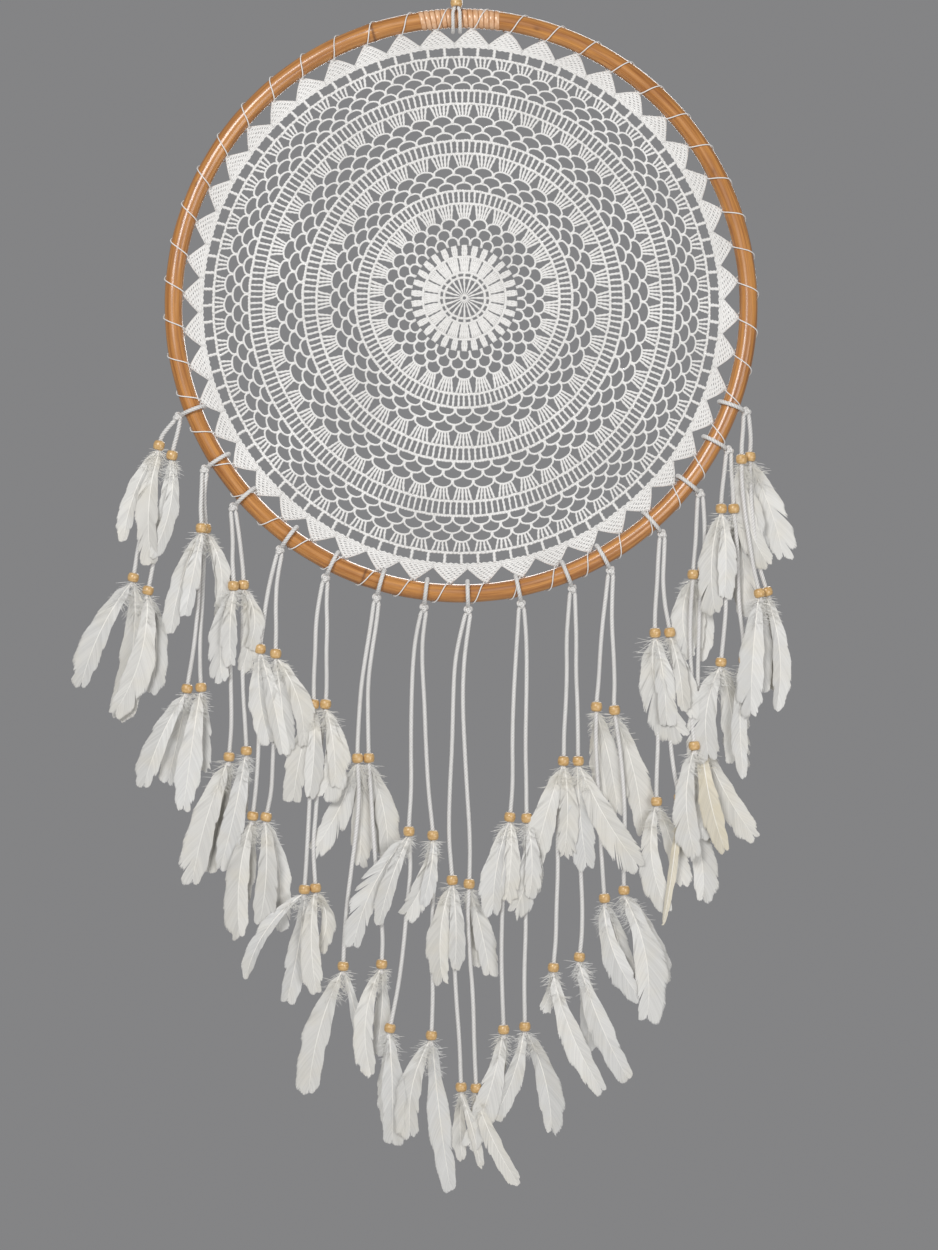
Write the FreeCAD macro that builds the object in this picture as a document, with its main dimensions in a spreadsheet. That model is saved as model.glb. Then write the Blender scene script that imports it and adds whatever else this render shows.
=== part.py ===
"""Dream catcher: a cane hoop laced round a crocheted doily, hung on a cord loop, with fifteen feathered strands.

+Z is up and the front faces -Y. The origin is the inside top of the hanging loop, where a nail bears.
Millimetres throughout. Each strand is one cord hitched over the hoop: a knot with two legs, and each leg
carries an upper and a lower wooden bead with feathers jammed in their bores.
"""
import FreeCAD, Part
import math
import os

from FreeCAD import Placement, Rotation, Vector

FRONT = Vector(0, -1, 0)
BACK = Vector(0, 1, 0)
ORIGIN = Vector(0, 0, 0)

# ---------------------------------------------------------------- driving sizes
SIZES = (
    ("hoop_radius", 287.5, "centre line of the cane hoop"),
    ("hoop_centre_x", 3.5, "hoop centre, right of the loop"),
    ("hoop_drop", 88.5, "nail to the cane's centre line at the top of the hoop"),
    ("cane_radius", 9.0, "round cane"),
    ("binding_wall", 0.6, "cane strip wound over the hoop's joint"),
    ("binding_angle", 17.0, "degrees of hoop that the binding covers"),
    ("web_thickness", 1.6, "crocheted cotton"),
    ("tip_count", 48, "points round the doily's edge"),
    ("tip_phase", 5.15, "degrees from straight down to the first point"),
    ("tip_height", 10.3, "valley to eyelet"),
    ("tip_radius", 1.5, "rounded end of a point"),
    ("eyelet_radius", 0.8, "hole that the lacing passes through"),
    ("tip_gap", 0.1, "end of a point to the binding"),
    ("web_centre_radius", 2.0, "small ring at the doily's middle"),
    ("thread_radius", 0.6, "lacing thread"),
    ("thread_standoff", 1.0, "thread centre line off the cane or binding"),
    ("thread_lean", 3.0, "degrees each wrap leans on the front"),
    ("cord_radius", 2.25, "twisted cotton cord of the strands"),
    ("hitch_standoff", 4.5, "hitch centre line off the cane"),
    ("knot_drop", 7.6, "knot centre outside the cane's outer edge"),
    ("knot_radius", 4.5, "knot, seen from its end"),
    ("knot_width", 9.8, "knot along its axis"),
    ("knot_round", 2.0, "rounding of the knot's edges"),
    ("bead_radius", 5.75, "wooden bead"),
    ("bead_height", 9.0, "bead along its bore, at the bore's edge"),
    ("clearance", 0.3, "running gap between neighbours"),
    ("feather_thickness", 1.0, "vane and quill together"),
    ("quill_width", 1.6, "bare quill under the bead"),
    ("layer_near", 3.1, "nearest feather's centre in front of or behind its cord"),
    ("layer_step", 1.6, "from one feather layer to the next"),
    ("loop_cord_radius", 1.8, "hanging cord"),
    ("loop_width", 13.8, "hanging loop between the cords' centre lines"),
    ("loop_bead_radius", 6.0, "bead on the hanging cord"),
    ("loop_bead_height", 8.6, "along its bore, at the bore's edge"),
    ("loop_bead_drop", 76.5, "nail to the bead's centre, along the hanging cords"),
    ("loop_bead_x", -1.0, "bead, from the nail towards +X"),
    ("loop_turn_gap", 2.9, "hanging cord's turn off the cane, to clear the lacing"),
    ("loop_turn_left", -4.5, "left turn round the hoop"),
    ("loop_turn_right", 2.5, "right turn round the hoop"),
)

# ---------------------------------------------------------------- strands
# For each strand: its angle round the hoop from straight down (towards +X), then legs a and b. A leg is its
# route from the knot's centre, the two runs of the route that carry its beads, and the feathers under the
# upper and the lower bead as (tilt from plumb towards +X in degrees, length, width).
STRANDS = (
    (-68.65,
     (((-2.5, 0, -3), (-12, 0, -13.5), (-17, 0, -21), (-20.5, 0, -36.5), (-24, 0, -63.5), (-32, 0, -98.5),
       (-40, 0, -131.5), (-43, 0, -153), (-46, 0, -168.5)), (2, 7),
      ((-18, 95, 15), (-8, 88, 14)), ((-24, 108, 18), (-8, 130, 16))),
     (((2.5, 0, -3), (0, 0, -16.5), (-4.5, 0, -31), (-7, 0, -46.5), (-10, 0, -73.5), (-16, 0, -108.5),
       (-23.5, 0, -141.5), (-28, 0, -166), (-31.5, 0, -181.5)), (2, 7),
      ((-9, 100, 15), (-2, 84, 12)), ((-3, 112, 16), (2, 98, 13)))),
    (-57.5,
     (((-2.5, 0, -3), (-2.5, -2.5, -19), (-3.5, -4.5, -39), (-2.5, -6.5, -51), (-2.5, -6.5, -67),
       (-4.5, -6, -96), (-5.5, -4, -131), (-9.5, -2, -171), (-13.5, -0.5, -196), (-16.5, 0, -211.5),
       (-18.5, 0, -227)), (3, 9),
      ((-9, 100, 15), (-3, 92, 13)), ((-14, 112, 16), (-6, 118, 15))),
     (((2.5, 0, -3), (-0.5, 2.5, -19), (-0.5, 4.5, -39), (0.5, 6.5, -51), (0.5, 6.5, -67), (-1.5, 6, -96),
       (-2.5, 4, -131), (-4.5, 1, -171), (-4.5, 0, -197), (-4, 0, -210), (-3, 0, -226)), (3, 9),
      ((4, 98, 15), (5, 90, 12)), ((-4, 112, 16), (3, 98, 12)))),
    (-48.55,
     (((-2.5, 0, -3), (0, -1, -26.5), (-0.5, -3, -55.5), (1, -4, -70.5), (0.5, -4, -86.5), (-2, -3, -113.5),
       (-3, -1, -148.5), (-2, 0, -183.5), (-1.5, 0, -218.5), (-3.5, 0, -241.5), (-4.5, 0, -257.5)), (3, 9),
      ((-2, 90, 12), (0, 84, 10)), ((-12, 118, 16), (-5, 128, 15))),
     (((2.5, 0, -3), (6, 1, -26.5), (9, 3, -55.5), (10, 4, -69.5), (10, 4, -85.5), (9, 3, -113.5),
       (9, 1, -148.5), (10, 0, -183.5), (12, 0, -215.5), (13, 0, -235.5), (13.5, 0, -251.5)), (3, 9),
      ((0, 92, 12), (1, 76, 10)), ((-10, 120, 14), (-9, 100, 12)))),
    (-36.6,
     (((-2.5, 0, -3), (-8.5, 0, -25.5), (-13.5, 0, -50.5), (-16.5, 0, -75.5), (-19, 0, -91),
       (-20, 0, -106.5), (-20.5, 0, -135.5), (-20.5, 0, -170.5), (-21.5, 0, -205.5), (-23.5, 0, -235.5),
       (-26, 0, -258), (-28, 0, -273.5)), (4, 10),
      ((-1, 92, 12), (3, 84, 12)), ((-6, 108, 14), (-2, 112, 13))),
     (((2.5, 0, -3), (-2.5, 0, -26.5), (-4, 0, -52.5), (-3.5, 0, -78.5), (-4, 0, -95.5), (-4, 0, -111.5),
       (-5.5, 0, -140.5), (-5, 0, -175.5), (-7, 0, -210.5), (-8, 0, -240.5), (-12, 0, -259),
       (-15, 0, -274.5)), (4, 10),
      ((6, 98, 14), (10, 92, 13)), ((2, 112, 15), (7, 104, 13)))),
    (-26.5,
     (((-2.5, 0, -3), (-6, 0, -20), (-9.5, 0, -45), (-10, 0, -73), (-11.5, 0, -99), (-11.5, 0, -118),
       (-12, 0, -134), (-12.5, 0, -161), (-14.5, 0, -195), (-16, 0, -229), (-18, -2, -268),
       (-20, -2.5, -302), (-21.5, -2.5, -320)), (5, 11),
      ((-6, 88, 13), (-12, 84, 12)), ((-16, 100, 16), (-5, 98, 14))),
     (((2.5, 0, -3), (1, 0, -21), (2, 0, -47), (1, 0, -75), (1.5, 0, -100), (1, 0, -118), (-0.5, 0, -134),
       (-4, 0, -161), (-7, 0, -195), (-9, 0, -229), (-12.5, 2, -268), (-10.5, 2.5, -301),
       (-9.5, 2.5, -319)), (5, 11),
      ((4, 92, 13), (8, 56, 12)), ((-1, 100, 14), (6, 92, 13)))),
    (-16.15,
     (((-2.5, 0, -3), (-5, 0, -23), (-10, 0, -53), (-15, 0, -85), (-17.5, -1, -119), (-19, -2.5, -152),
       (-18.5, -2.5, -168), (-17, -2, -195), (-19.5, -1, -229), (-24.5, 0, -267), (-29.5, 0, -305),
       (-32, 0, -339), (-33, 0, -360), (-33.5, 0, -376)), (5, 12),
      ((-10, 96, 14), (-3, 100, 13)), ((-9, 112, 15), (-2, 118, 14))),
     (((2.5, 0, -3), (0.5, 0, -23), (-4.5, 0, -53), (-8.5, 0, -85), (-8.5, 1, -119), (-8, 2.5, -152),
       (-7.5, 2.5, -168), (-5.5, 2, -195), (-3.5, 1, -231), (-0.5, 0, -269), (3.5, 0, -305),
       (6.5, 0, -339), (5.5, 0, -358), (5, 0, -374)), (5, 12),
      ((4, 100, 14), (10, 96, 13)), ((-9, 100, 13), (-8, 84, 10)))),
    (-7.0,
     (((-2.5, 0, -3), (-7.5, 0, -23.5), (-11, 0, -53.5), (-12.5, 0, -93.5), (-13, 0, -138.5),
       (-12.5, 0, -181.5), (-15, 0, -215.5), (-15, 0, -231.5), (-13, 0, -261.5), (-17, 0, -298.5),
       (-20, 0, -335.5), (-25, 0, -375.5), (-32, 0, -411), (-36, 0, -429.5)), (6, 12),
      ((-5, 100, 14), (1, 96, 13)), ((0, 108, 12), (5, 100, 13))),
     (((2.5, 0, -3), (-1, 0, -23.5), (-2, 0, -53.5), (0.5, 0, -93.5), (2, 0, -138.5), (4.5, 0, -183.5),
       (8.5, 0, -218.5), (9.5, 0, -236.5), (10.5, 0, -265.5), (8.5, 0, -303.5), (8, 0, -343.5),
       (9, 0, -383.5), (8, 0, -418), (7, 0, -437)), (6, 12),
      ((1, 98, 13), (-6, 92, 13)), ((3, 140, 17), (-6, 104, 16)))),
    (1.35,
     (((-2.5, 0, -3), (-8, 0, -24), (-13.5, 0, -53), (-15, 0, -91), (-16, 0, -136), (-18.5, 0, -181),
       (-19.5, 0, -226), (-16.5, 0, -261), (-15.5, 0, -279), (-13.5, 0, -306), (-14, 0, -346),
       (-12, 0, -389), (-8.5, 0, -433), (-7.5, 0, -467.5), (-6.5, 0, -486.5)), (7, 13),
      ((-1, 92, 11), (3, 88, 12)), ((-4, 98, 13), (0, 92, 12))),
     (((2.5, 0, -3), (-1, 0, -25), (-4.5, 0, -55), (-5.5, 0, -93), (-3.5, 0, -138), (-1, 0, -183),
       (2, 0, -229), (1.5, 0, -264.5), (0.5, 0, -283), (-0.5, 0, -309), (1.5, 0, -346), (5, 0, -386),
       (6, 0, -433), (7.5, 0, -468.5), (8.5, 0, -487.5)), (7, 13),
      ((4, 92, 13), (10, 86, 12)), ((2, 98, 13), (5, 94, 12)))),
    (11.45,
     (((-2.5, 0, -3), (-3.5, 0, -23), (-5.5, 0, -53), (-8, 0, -97), (-9, 0, -139), (-8.5, 0, -177),
       (-10.5, 0, -205), (-12.5, 0, -221), (-15.5, 0, -247), (-18, 0, -281), (-19.5, 0, -319),
       (-20, 0, -357), (-19, 0, -393), (-18, 0, -417.5), (-17.5, 0, -433.5)), (6, 13),
      ((-8, 92, 14), (-2, 90, 14)), ((-6, 108, 14), (-1, 104, 13))),
     (((2.5, 0, -3), (4.5, 0, -23), (5.5, 0, -55), (5, 0, -97), (4, 0, -142), (5, 0, -179),
       (5, 0, -206), (6, 0, -222), (5.5, 0, -252), (4, 0, -289), (4.5, 0, -327), (3, 0, -362),
       (3, 0, -395), (3.5, 0, -414.5), (3.5, 0, -430.5)), (6, 13),
      ((-1, 92, 14), (4, 80, 12)), ((4, 100, 13), (8, 112, 13)))),
    (21.5,
     (((-2.5, 0, -3), (-4, 0, -22), (-6, 0, -50), (-5.5, 0, -82), (-6.5, 0, -114), (-8.5, 0, -145),
       (-8.5, 0, -164), (-9.5, 0, -180), (-12.5, 0, -208), (-15, 0, -244), (-14.5, 0, -282),
       (-16, 0, -318), (-16.5, 0, -350), (-18.5, 0, -370.5), (-19.5, 0, -386.5)), (6, 13),
      ((-8, 98, 14), (-3, 92, 13)), ((-3, 112, 14), (3, 108, 13))),
     (((2.5, 0, -3), (3, 0, -22), (4, 0, -50), (3.5, 0, -82), (5, 0, -114), (5.5, 0, -145),
       (5.5, 0, -164), (6, 0, -180), (7.5, 0, -208), (7, 0, -248), (8.5, 0, -286), (10, 0, -318),
       (9.5, 0, -344), (8, 0, -360), (6, 0, -376)), (6, 13),
      ((2, 94, 12), (5, 98, 12)), ((0, 112, 13), (5, 104, 12)))),
    (29.5,
     (((-2.5, 0, -3), (-4.5, 0, -22.5), (-8, 0, -50.5), (-10.5, 0, -80.5), (-12, 0, -110.5),
       (-14, 0, -128), (-14.5, 0, -144), (-15, 0, -170.5), (-13.5, 0, -205.5), (-11.5, 0, -238.5),
       (-10, 0, -272.5), (-8, 0, -302.5), (-7, 0, -319.5), (-5.5, 0, -335.5)), (5, 12),
      ((2, 96, 12), (6, 92, 12)), ((0, 104, 13), (5, 108, 13))),
     (((2.5, 0, -3), (1.5, 0, -22.5), (1, 0, -52.5), (3, 0, -84.5), (4, 0, -114.5), (3, 0, -131.5),
       (4.5, 0, -147.5), (8.5, 0, -172.5), (12, 0, -205.5), (14, 0, -238.5), (14, 0, -268.5),
       (13, 0, -294.5), (13, 0, -311.5), (13.5, 0, -327.5)), (5, 12),
      ((4, 104, 14), (12, 100, 13)), ((3, 110, 15), (9, 116, 14)))),
    (41.45,
     (((-2.5, 0, -3), (-4, 0, -21), (-5, 0, -47), (-7, 0, -73), (-7.5, 0, -91), (-7, 0, -107),
       (-6.5, 0, -133), (-5.5, 0, -167), (-4, 0, -202), (-5.5, 0, -237), (-6, 0, -259.5),
       (-5.5, 0, -275.5)), (4, 10),
      ((-4, 98, 14), (2, 92, 13)), ((-3, 112, 14), (2, 106, 12))),
     (((2.5, 0, -3), (2, 0, -21), (0.5, 0, -45), (2.5, 0, -71), (6.5, 0, -90.5), (8.5, 0, -106.5),
       (10, 0, -131), (8.5, 0, -167), (7.5, 0, -205), (11.5, 0, -237), (15.5, 0, -256),
       (19, 0, -271.5)), (4, 10),
      ((3, 100, 13), (7, 92, 12)), ((-4, 112, 13), (-8, 100, 12)))),
    (51.9,
     (((-2.5, 0, -3), (-3.5, 0, -20), (-4.5, 0, -47), (-7, -2.5, -73), (-8, -3, -89), (-10, -1.5, -117),
       (-10.5, -1, -153), (-8.5, -1, -187), (-9.5, -2, -220), (-7, -3, -244), (-5.5, -3.5, -260)), (3, 9),
      ((-1, 88, 10), (2, 80, 9)), ((0, 112, 12), (4, 104, 12))),
     (((2.5, 0, -3), (4, 0, -20), (4.5, 0, -47), (3.5, 2.5, -69), (2.5, 3, -85), (-0.5, 2, -111),
       (-1.5, 1.5, -147), (-2.5, 1.5, -183), (-1.5, 2, -215), (1.5, 3, -237.5), (3.5, 3.5, -253.5)), (3, 9),
      ((2, 90, 11), (-2, 84, 10)), ((3, 112, 13), (9, 108, 13)))),
    (61.7,
     (((-2.5, 0, -3), (-4, 0, -18.5), (-6.5, 0, -38.5), (-7.5, 0, -50.5), (-7.5, 0, -66.5),
       (-6.5, 0, -92.5), (-4, 0, -124.5), (-2.5, 0, -156.5), (-5, 0, -184.5), (-7, 0, -204),
       (-8.5, 0, -220)), (3, 9),
      ((-3, 88, 12), (1, 84, 12)), ((2, 104, 13), (-1, 96, 11))),
     (((2.5, 0, -3), (2.5, 0, -17.5), (4, 0, -37.5), (4.5, 0, -50.5), (5.5, 0, -66.5), (8.5, 0, -92.5),
       (9, 0, -126.5), (10.5, 0, -158.5), (14.5, 0, -186.5), (15, 0, -201.5), (16, 0, -217.5)), (3, 9),
      ((0, 90, 10), (-3, 84, 10)), ((-1, 112, 12), (-4, 100, 11)))),
    (69.7,
     (((-2.5, 0, -3), (-3, -1.5, -16), (-4.5, -3, -30), (-5, -4, -40), (-5, -4, -56), (-4.5, -3, -74),
       (-1.5, -2, -102), (3, -2, -130), (7, -3, -157), (11, -4, -174), (14.5, -5, -189.5)), (3, 9),
      ((6, 86, 8), (10, 80, 9)), ((4, 108, 12), (8, 104, 12))),
     (((2.5, 0, -3), (4, 1.5, -15), (5, 3, -29), (4.5, 4, -37), (4, 4, -53), (4.5, 3, -73),
       (6, 2, -101), (9.5, 2, -129), (13.5, 3, -156), (19, 4, -172.5), (23.5, 5, -187.5)), (3, 9),
      ((14, 94, 13), (20, 98, 14)), ((4, 112, 14), (9, 104, 14)))),
)
SIDE_BY_SIDE = 0.5   # a bead no further than this off the strand's plane has feathers on both sides
ARC_SHARE = 0.45     # share of the shorter run that each rounded corner of a cord takes

doc = FreeCAD.newDocument("dream_catcher")
sheet = doc.addObject("Spreadsheet::Sheet", "Sizes")
for row, (alias, value, note) in enumerate(SIZES, start=1):
    sheet.set(f"A{row}", alias)
    sheet.set(f"B{row}", str(value))
    sheet.set(f"C{row}", note)
    sheet.setAlias(f"B{row}", alias)
doc.recompute()


def size(alias):
    """One driving size from the sheet."""
    return float(sheet.get(alias))


def bind(obj, **bindings):
    """Tie properties to expressions over the sheet; a double underscore stands for a dot."""
    for path, expression in bindings.items():
        obj.setExpression(path.replace("__", "."), expression)


# ---------------------------------------------------------------- sketched bodies
def origin_plane(body, role):
    """A body's own origin plane, such as XY_Plane."""
    return next(f for f in body.Origin.OriginFeatures if f.Role == role)


def new_sketch(body, name, role):
    """An empty sketch on one of the body's origin planes."""
    sketch = body.newObject("Sketcher::SketchObject", name)
    sketch.AttachmentSupport = [(origin_plane(body, role), "")]
    sketch.MapMode = "FlatFace"
    return sketch


def revolved_rings(label, radii):
    """A body that carries circles round the hoop: a cane, or a sleeve when two radii are given."""
    import Sketcher
    body = doc.addObject("PartDesign::Body", label)
    sketch = new_sketch(body, f"{label}_section", "XY_Plane")
    for index, (start, expression) in enumerate(radii):
        circle = sketch.addGeometry(
            Part.Circle(Vector(size("hoop_radius"), 0, 0), Vector(0, 0, 1), start), False)
        sketch.addConstraint(Sketcher.Constraint("PointOnObject", circle, 3, -1))
        sketch.addConstraint(Sketcher.Constraint("DistanceX", -1, 1, circle, 3, size("hoop_radius")))
        sketch.renameConstraint(sketch.ConstraintCount - 1, f"reach_{index}")
        sketch.addConstraint(Sketcher.Constraint("Radius", circle, start))
        sketch.renameConstraint(sketch.ConstraintCount - 1, f"radius_{index}")
        sketch.setExpression(f"Constraints.reach_{index}", "Sizes.hoop_radius")
        sketch.setExpression(f"Constraints.radius_{index}", expression)
    turn = body.newObject("PartDesign::Revolution", f"{label}_turn")
    turn.Profile = sketch
    turn.ReferenceAxis = (sketch, ["V_Axis"])
    turn.Angle = 360
    return body, turn


def bored_bead(label, radius, height, bore, names):
    """A turned bead: a crowned outside and a plain bore along Z. names are the sheet's expressions."""
    import Sketcher
    body = doc.addObject("PartDesign::Body", label)
    sketch = new_sketch(body, f"{label}_section", "XZ_Plane")
    half = height / 2
    crown = ((radius - bore) ** 2 + half ** 2) / (2 * (radius - bore))
    swing = math.asin(half / crown)
    circle = Part.Circle(Vector(radius - crown, 0, 0), Vector(0, 0, 1), crown)
    arc = sketch.addGeometry(Part.ArcOfCircle(circle, -swing, swing), False)
    wall = sketch.addGeometry(Part.LineSegment(Vector(bore, half, 0), Vector(bore, -half, 0)), False)
    sketch.addConstraint(Sketcher.Constraint("Coincident", arc, 2, wall, 1))
    sketch.addConstraint(Sketcher.Constraint("Coincident", wall, 2, arc, 1))
    sketch.addConstraint(Sketcher.Constraint("Symmetric", wall, 1, wall, 2, -1))
    values = (("bore", Sketcher.Constraint("DistanceX", -1, 1, wall, 1, bore), names["bore"]),
              ("height", Sketcher.Constraint("DistanceY", wall, 2, wall, 1, height), names["height"]),
              ("crown", Sketcher.Constraint("Radius", arc, crown),
               f"(({names['radius']} - {names['bore']}) ^ 2 + ({names['height']} / 2) ^ 2)"
               f" / (2 * ({names['radius']} - {names['bore']}))"))
    for name, constraint, expression in values:
        sketch.addConstraint(constraint)
        sketch.renameConstraint(sketch.ConstraintCount - 1, name)
        sketch.setExpression(f"Constraints.{name}", expression)
    turn = body.newObject("PartDesign::Revolution", f"{label}_turn")
    turn.Profile = sketch
    turn.ReferenceAxis = (sketch, ["V_Axis"])
    turn.Angle = 360
    return body


def feature(label, shape):
    """A document object with a shape of its own, for what sketches and primitives don't fit."""
    obj = doc.addObject("Part::Feature", label)
    obj.Shape = shape
    return obj


# ---------------------------------------------------------------- cord and thread shapes
def cord_wire(points, name):
    """Straight runs joined by tangent arcs, each as large as its two runs allow."""
    corners = [Vector(*p) for p in points]
    edges, radii = [], []
    start = corners[0]
    for before, corner, after in zip(corners, corners[1:], corners[2:]):
        arriving, leaving = corner - before, after - corner
        reach = ARC_SHARE * min(arriving.Length, leaving.Length)
        turn = arriving.getAngle(leaving)
        arriving.normalize()
        leaving.normalize()
        radius = reach / math.tan(turn / 2)
        enter, leave = corner - arriving * reach, corner + leaving * reach
        inward = leaving - arriving
        inward.normalize()
        middle = corner + inward * (radius / math.cos(turn / 2) - radius)
        edges += [Part.LineSegment(start, enter).toShape(), Part.Arc(enter, middle, leave).toShape()]
        radii.append(radius)
        start = leave
    edges.append(Part.LineSegment(start, corners[-1]).toShape())
    wire = Part.Wire(edges)
    print(f"{name}: length {wire.Length:.1f} mm, tightest arc {min(radii):.1f} mm, widest {max(radii):.0f} mm")
    return wire


def tube(wire, radius, name):
    """A round tube along a wire, with its volume compared with section times length."""
    first = wire.Edges[0]
    heading = first.tangentAt(first.FirstParameter)
    at = first.valueAt(first.FirstParameter)
    section = Part.Wire([Part.Circle(at, heading, radius).toShape()])
    solid = wire.makePipeShell([section], True, False)
    expected = math.pi * radius ** 2 * wire.Length
    if not solid.isValid() or abs(solid.Volume / expected - 1) > 0.02:
        raise RuntimeError(f"{name}: tube volume {solid.Volume:.1f}, expected {expected:.1f}")
    return solid


def half_round(start, finish, side, bulge):
    """Half an ellipse from start to finish that bulges to the front or the back."""
    centre = (start + finish) * 0.5
    return Part.ArcOfEllipse(Part.Ellipse(start, centre + side * bulge, centre), 0, math.pi).toShape()


def knot_drum():
    """The overhand knot as a rounded drum about X, so that it can turn in its hitch."""
    width = size("knot_width")
    drum = Part.makeCylinder(size("knot_radius"), width, Vector(-width / 2, 0, 0), Vector(1, 0, 0))
    return drum.makeFillet(size("knot_round"), [e for e in drum.Edges if isinstance(e.Curve, Part.Circle)])


def round_hoop(radius, angle):
    """A point at this radius from the hoop's centre, at degrees from straight down towards +X."""
    return Vector(radius * math.sin(math.radians(angle)), 0, -radius * math.cos(math.radians(angle)))


# ---------------------------------------------------------------- hoop, binding
HOOP_X = "Sizes.hoop_centre_x"
HOOP_Z = "-Sizes.hoop_drop - Sizes.hoop_radius"

hoop, _ = revolved_rings("rattan_hoop", ((size("cane_radius"), "Sizes.cane_radius"),))

binding, binding_turn = revolved_rings(
    "joint_binding", ((size("cane_radius"), "Sizes.cane_radius"),
                      (size("cane_radius") + size("binding_wall"), "Sizes.cane_radius + Sizes.binding_wall")))
binding_turn.Midplane = True
bind(binding_turn, Angle="Sizes.binding_angle")
binding.Placement = Placement(ORIGIN, Rotation(Vector(0, 1, 0), -90))

# ---------------------------------------------------------------- crocheted doily
EYELET_REACH = (size("hoop_radius") - size("cane_radius") - size("binding_wall") - size("tip_gap")
                - size("tip_radius"))
TIP_PITCH = 360.0 / size("tip_count")
tip_angles = [size("tip_phase") + TIP_PITCH * i for i in range(int(size("tip_count")))]


def doily_outline():
    """The doily's edge: pointed tips with rounded ends, one for each wrap of the lacing."""
    valley = EYELET_REACH - size("tip_height")
    edges = []
    for angle in tip_angles:
        left, right = round_hoop(valley, angle - TIP_PITCH / 2), round_hoop(valley, angle + TIP_PITCH / 2)
        centre, end = round_hoop(EYELET_REACH, angle), round_hoop(EYELET_REACH + size("tip_radius"), angle)
        touches = []
        for corner, turn in ((left, 1), (right, -1)):
            away = corner - centre
            swing = math.degrees(math.acos(size("tip_radius") / away.Length)) * turn
            away.normalize()
            touches.append(centre + Rotation(BACK, -swing).multVec(away) * size("tip_radius"))
        edges += [Part.LineSegment(left, touches[0]).toShape(),
                  Part.Arc(touches[0], end, touches[1]).toShape(),
                  Part.LineSegment(touches[1], right).toShape()]
    return Part.Face(Part.Wire(edges))


def doily_holes():
    """The centre ring, an eyelet in each tip and a notch for each cord that passes round the cane."""
    depth = size("web_thickness") * 3
    notch = size("cord_radius") + size("clearance") + 0.1
    loop_notch = size("loop_cord_radius") + size("clearance") + 0.1
    centres = [(ORIGIN, size("web_centre_radius"))]
    centres += [(round_hoop(EYELET_REACH, angle), size("eyelet_radius")) for angle in tip_angles]
    centres += [(round_hoop(size("hoop_radius") - HITCH_RADIUS, strand[0]), notch) for strand in STRANDS]
    for turn in ("loop_turn_left", "loop_turn_right"):
        across = size(turn) - size("hoop_centre_x")
        centres.append((Vector(across, 0, size("hoop_radius") - LOOP_TURN_RADIUS), loop_notch))
    return Part.makeCompound([Part.makeCylinder(radius, depth, centre + FRONT * depth / 2, BACK)
                              for centre, radius in centres])


HITCH_RADIUS = size("cane_radius") + size("hitch_standoff")
LOOP_TURN_RADIUS = size("cane_radius") + size("loop_turn_gap") + size("loop_cord_radius")

outline = feature("doily_outline", doily_outline())
slab = doc.addObject("Part::Extrusion", "doily_slab")
slab.Base = outline
slab.DirMode = "Custom"
slab.Dir = BACK
slab.Symmetric = True
slab.Solid = True
bind(slab, LengthFwd="Sizes.web_thickness")
holes = feature("doily_holes", doily_holes())
web = doc.addObject("Part::Cut", "crochet_web")
web.Base = slab
web.Tool = holes


# ---------------------------------------------------------------- lacing thread
def wrap(angle):
    """One turn of thread: from a tip's eyelet over the front of the cane, then behind it to the next tip."""
    bound = size("binding_angle") / 2 + size("thread_lean") / 2
    over_binding = min(abs(angle + share - 180.0) for share in (0.0, size("thread_lean"), TIP_PITCH)) < bound
    wall = size("binding_wall") if over_binding else 0.0
    bulge = size("cane_radius") + wall + size("thread_standoff")
    inner, following = round_hoop(EYELET_REACH, angle), round_hoop(EYELET_REACH, angle + TIP_PITCH)
    outer = round_hoop(size("hoop_radius") + bulge, angle + size("thread_lean"))
    path = Part.Wire([half_round(inner, outer, FRONT, bulge), half_round(outer, following, BACK, bulge)])
    return tube(path, size("thread_radius"), f"lacing at {angle:.1f}")


lacing = feature("lacing_thread", Part.makeCompound([wrap(angle) for angle in tip_angles]))


# ---------------------------------------------------------------- hitches of the strands
def hitch(angle):
    """A strand's cord round the cane, open where its knot turns: most of a ring with flat ends."""
    cord, room = size("cord_radius"), size("knot_radius") + size("clearance")
    drop, outer = KNOT_REACH - size("hoop_radius"), HITCH_RADIUS + size("cord_radius")
    end_on = math.acos((outer ** 2 + drop ** 2 - room ** 2) / (2 * outer * drop))
    side_on = math.asin(room / (HITCH_RADIUS - cord))
    share = abs(math.sin(math.radians(angle))) / 2
    opening = math.degrees(end_on * (1 - share) + side_on * share)
    ring = Part.makeTorus(HITCH_RADIUS, cord, ORIGIN, Vector(0, 0, 1), 0, 360, 360 - 2 * opening)
    ring.rotate(ORIGIN, Vector(0, 0, 1), opening)
    ring.rotate(ORIGIN, BACK, 90 - angle)
    return ring.translated(round_hoop(size("hoop_radius"), angle))


KNOT_REACH = size("hoop_radius") + size("cane_radius") + size("knot_drop")
hitches = feature("strand_hitches", Part.makeCompound([hitch(strand[0]) for strand in STRANDS]))

# ---------------------------------------------------------------- hanging loop and its bead
# The cords leave the front of the hoop on a tangent through the nail, so the loop leans back by this much.
LOOP_LEAN = math.asin(LOOP_TURN_RADIUS / size("hoop_drop"))
LEAN = Placement(ORIGIN, Rotation(Vector(1, 0, 0), -math.degrees(LOOP_LEAN)))

hanger_bead = bored_bead("hanger_bead", size("loop_bead_radius"), size("loop_bead_height"),
                         2 * size("loop_cord_radius") + size("clearance"),
                         {"bore": "(2 * Sizes.loop_cord_radius + Sizes.clearance)",
                          "height": "Sizes.loop_bead_height", "radius": "Sizes.loop_bead_radius"})
bead_seat = LEAN.multVec(Vector(size("loop_bead_x"), 0, -size("loop_bead_drop")))
hanger_bead.Placement = Placement(bead_seat, LEAN.Rotation)


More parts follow.
